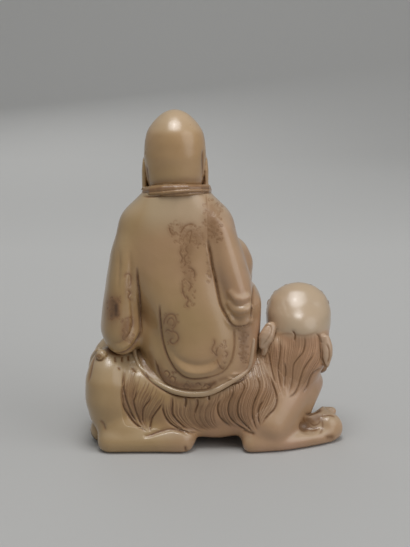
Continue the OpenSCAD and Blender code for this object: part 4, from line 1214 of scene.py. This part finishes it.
lion_head = Mass([(["lion_head", "lion_muzzle"], 1.2), (["lion_brow_curls", "lion_beard"], 0.45),
                  (["lion_right_ear"], 0.5)], SMALL_PITCH, seats=["lion_mane", "lion_trunk"])
add_nape(lion_head)
carve_lion_face(lion_head)
lion_head.piece("lion_skull", ["lion_head", "lion_muzzle"], "lion_stone", [lion_work], least_pale=pale_skull)
lion_head.piece("brow_curls", ["lion_brow_curls"], "fur_stone", [lion_front], least_stain=0.75,
                moved=lambda points: points + CURLS_SHIFT)
lion_head.piece("beard", ["lion_beard"], "fur_stone", [lion_front], least_stain=0.5, moved=narrowed_beard)
lion_head.piece("lion_ear_right", ["lion_right_ear"], "lion_stone", [lion_work],
                least_pale=evenly(EAR_PALE))
del lion_head

# Lion's left ear: a broad leaf
EAR_PITCH = 0.2
ear = Mass([(["lion_left_ear"], 0.5)], EAR_PITCH)
ear.cord([(19.4, -8.4, 43.0), (18.2, -9.4, 40.4), (16.9, -10.0, 37.2)], (2.2, 2.8, 1.5), 0.5, flat=1.6)
ear.piece("lion_ear_left", ["lion_left_ear"], "lion_stone", [lion_work],
          least_pale=evenly(EAR_PALE))
del ear


# Stage

backdrop = bpy.data.materials.new("backdrop")
backdrop.use_nodes = True
surface = backdrop.node_tree.nodes["Principled BSDF"]
surface.inputs["Roughness"].default_value = 0.8
# greys of the backdrop from the figure to the wall, a painted fall of light, darker near the figure and lighter towards
# the wall: share of the way, grey
WALL = 1.4
GREYS = ((0.0, 0.47), (0.26, 0.63), (1.0, 0.7))
new_node, link = backdrop.node_tree.nodes.new, backdrop.node_tree.links.new
split = new_node("ShaderNodeSeparateXYZ")
link(new_node("ShaderNodeTexCoord").outputs["Object"], split.inputs["Vector"])
share = new_node("ShaderNodeMath")
share.operation = "DIVIDE"
share.inputs[1].default_value = WALL
link(split.outputs["Y"], share.inputs[0])
greys = new_node("ShaderNodeValToRGB")
greys.color_ramp.elements.new(GREYS[1][0])
for stop, (place, grey) in zip(greys.color_ramp.elements, GREYS):
    stop.position = place
    stop.color = (grey, grey, grey * 0.98, 1)
link(share.outputs["Value"], greys.inputs["Fac"])
link(greys.outputs["Color"], surface.inputs["Base Color"])
SWEEP = 0.5
profile = [(-5.0, 0.0)] + [(WALL - SWEEP + SWEEP * math.sin(a), SWEEP - SWEEP * math.cos(a))
                           for a in np.linspace(0, math.pi / 2, 16)] + [(WALL, 1.5)]
points = [(x, y, z) for y, z in profile for x in (-1.8, 1.8)]
faces = [(2 * i, 2 * i + 1, 2 * i + 3, 2 * i + 2) for i in range(len(profile) - 1)]
floor_mesh = bpy.data.meshes.new("floor")
floor_mesh.from_pydata(points, [], faces)
floor_mesh.shade_smooth()
floor_mesh.materials.append(backdrop)
floor = bpy.data.objects.new("floor", floor_mesh)
bpy.context.scene.collection.objects.link(floor)


def area_light(name, place, aim, size, power):
    light = bpy.data.lights.new(name, "AREA")
    light.shape = "DISK"
    light.size = size
    light.energy = power
    obj = bpy.data.objects.new(name, light)
    obj.location = place
    obj.rotation_euler = (Vector(aim) - Vector(place)).to_track_quat("-Z", "Y").to_euler()
    bpy.context.scene.collection.objects.link(obj)
    return obj


area_light("softbox", (-0.02, -0.16, 0.75), (0, 0, 0.05), 0.45, 2.6)
area_light("key", (-0.03, -0.2, 0.78), (0, 0, 0.05), 0.06, 0.28)
area_light("side", (0.7, -0.45, 0.45), (0, 0, 0.06), 0.9, 2.6)
area_light("front", (-0.2, 0.9, 0.5), (0, 0, 0.06), 0.8, 1.2).visible_glossy = False
world = bpy.data.worlds.new("studio")
bpy.context.scene.world = world
world.use_nodes = True
world.node_tree.nodes["Background"].inputs["Color"].default_value = (1, 1, 1, 1)
world.node_tree.nodes["Background"].inputs["Strength"].default_value = 0.27

camera = bpy.data.cameras.new("camera")
camera.sensor_fit = "VERTICAL"
camera.sensor_height = 36
camera.lens = FOCAL_PIXELS / PHOTO_SIZE[1] * camera.sensor_height
camera_object = bpy.data.objects.new("camera", camera)
camera_object.location = (CAMERA_AIM + CAMERA_DISTANCE * TOWARDS_CAMERA) * MM
camera_object.rotation_euler = (math.pi / 2 - CAMERA_TILT, 0, 0)
bpy.context.scene.collection.objects.link(camera_object)
bpy.context.scene.camera = camera_object
bpy.context.scene.view_settings.view_transform = "Standard"
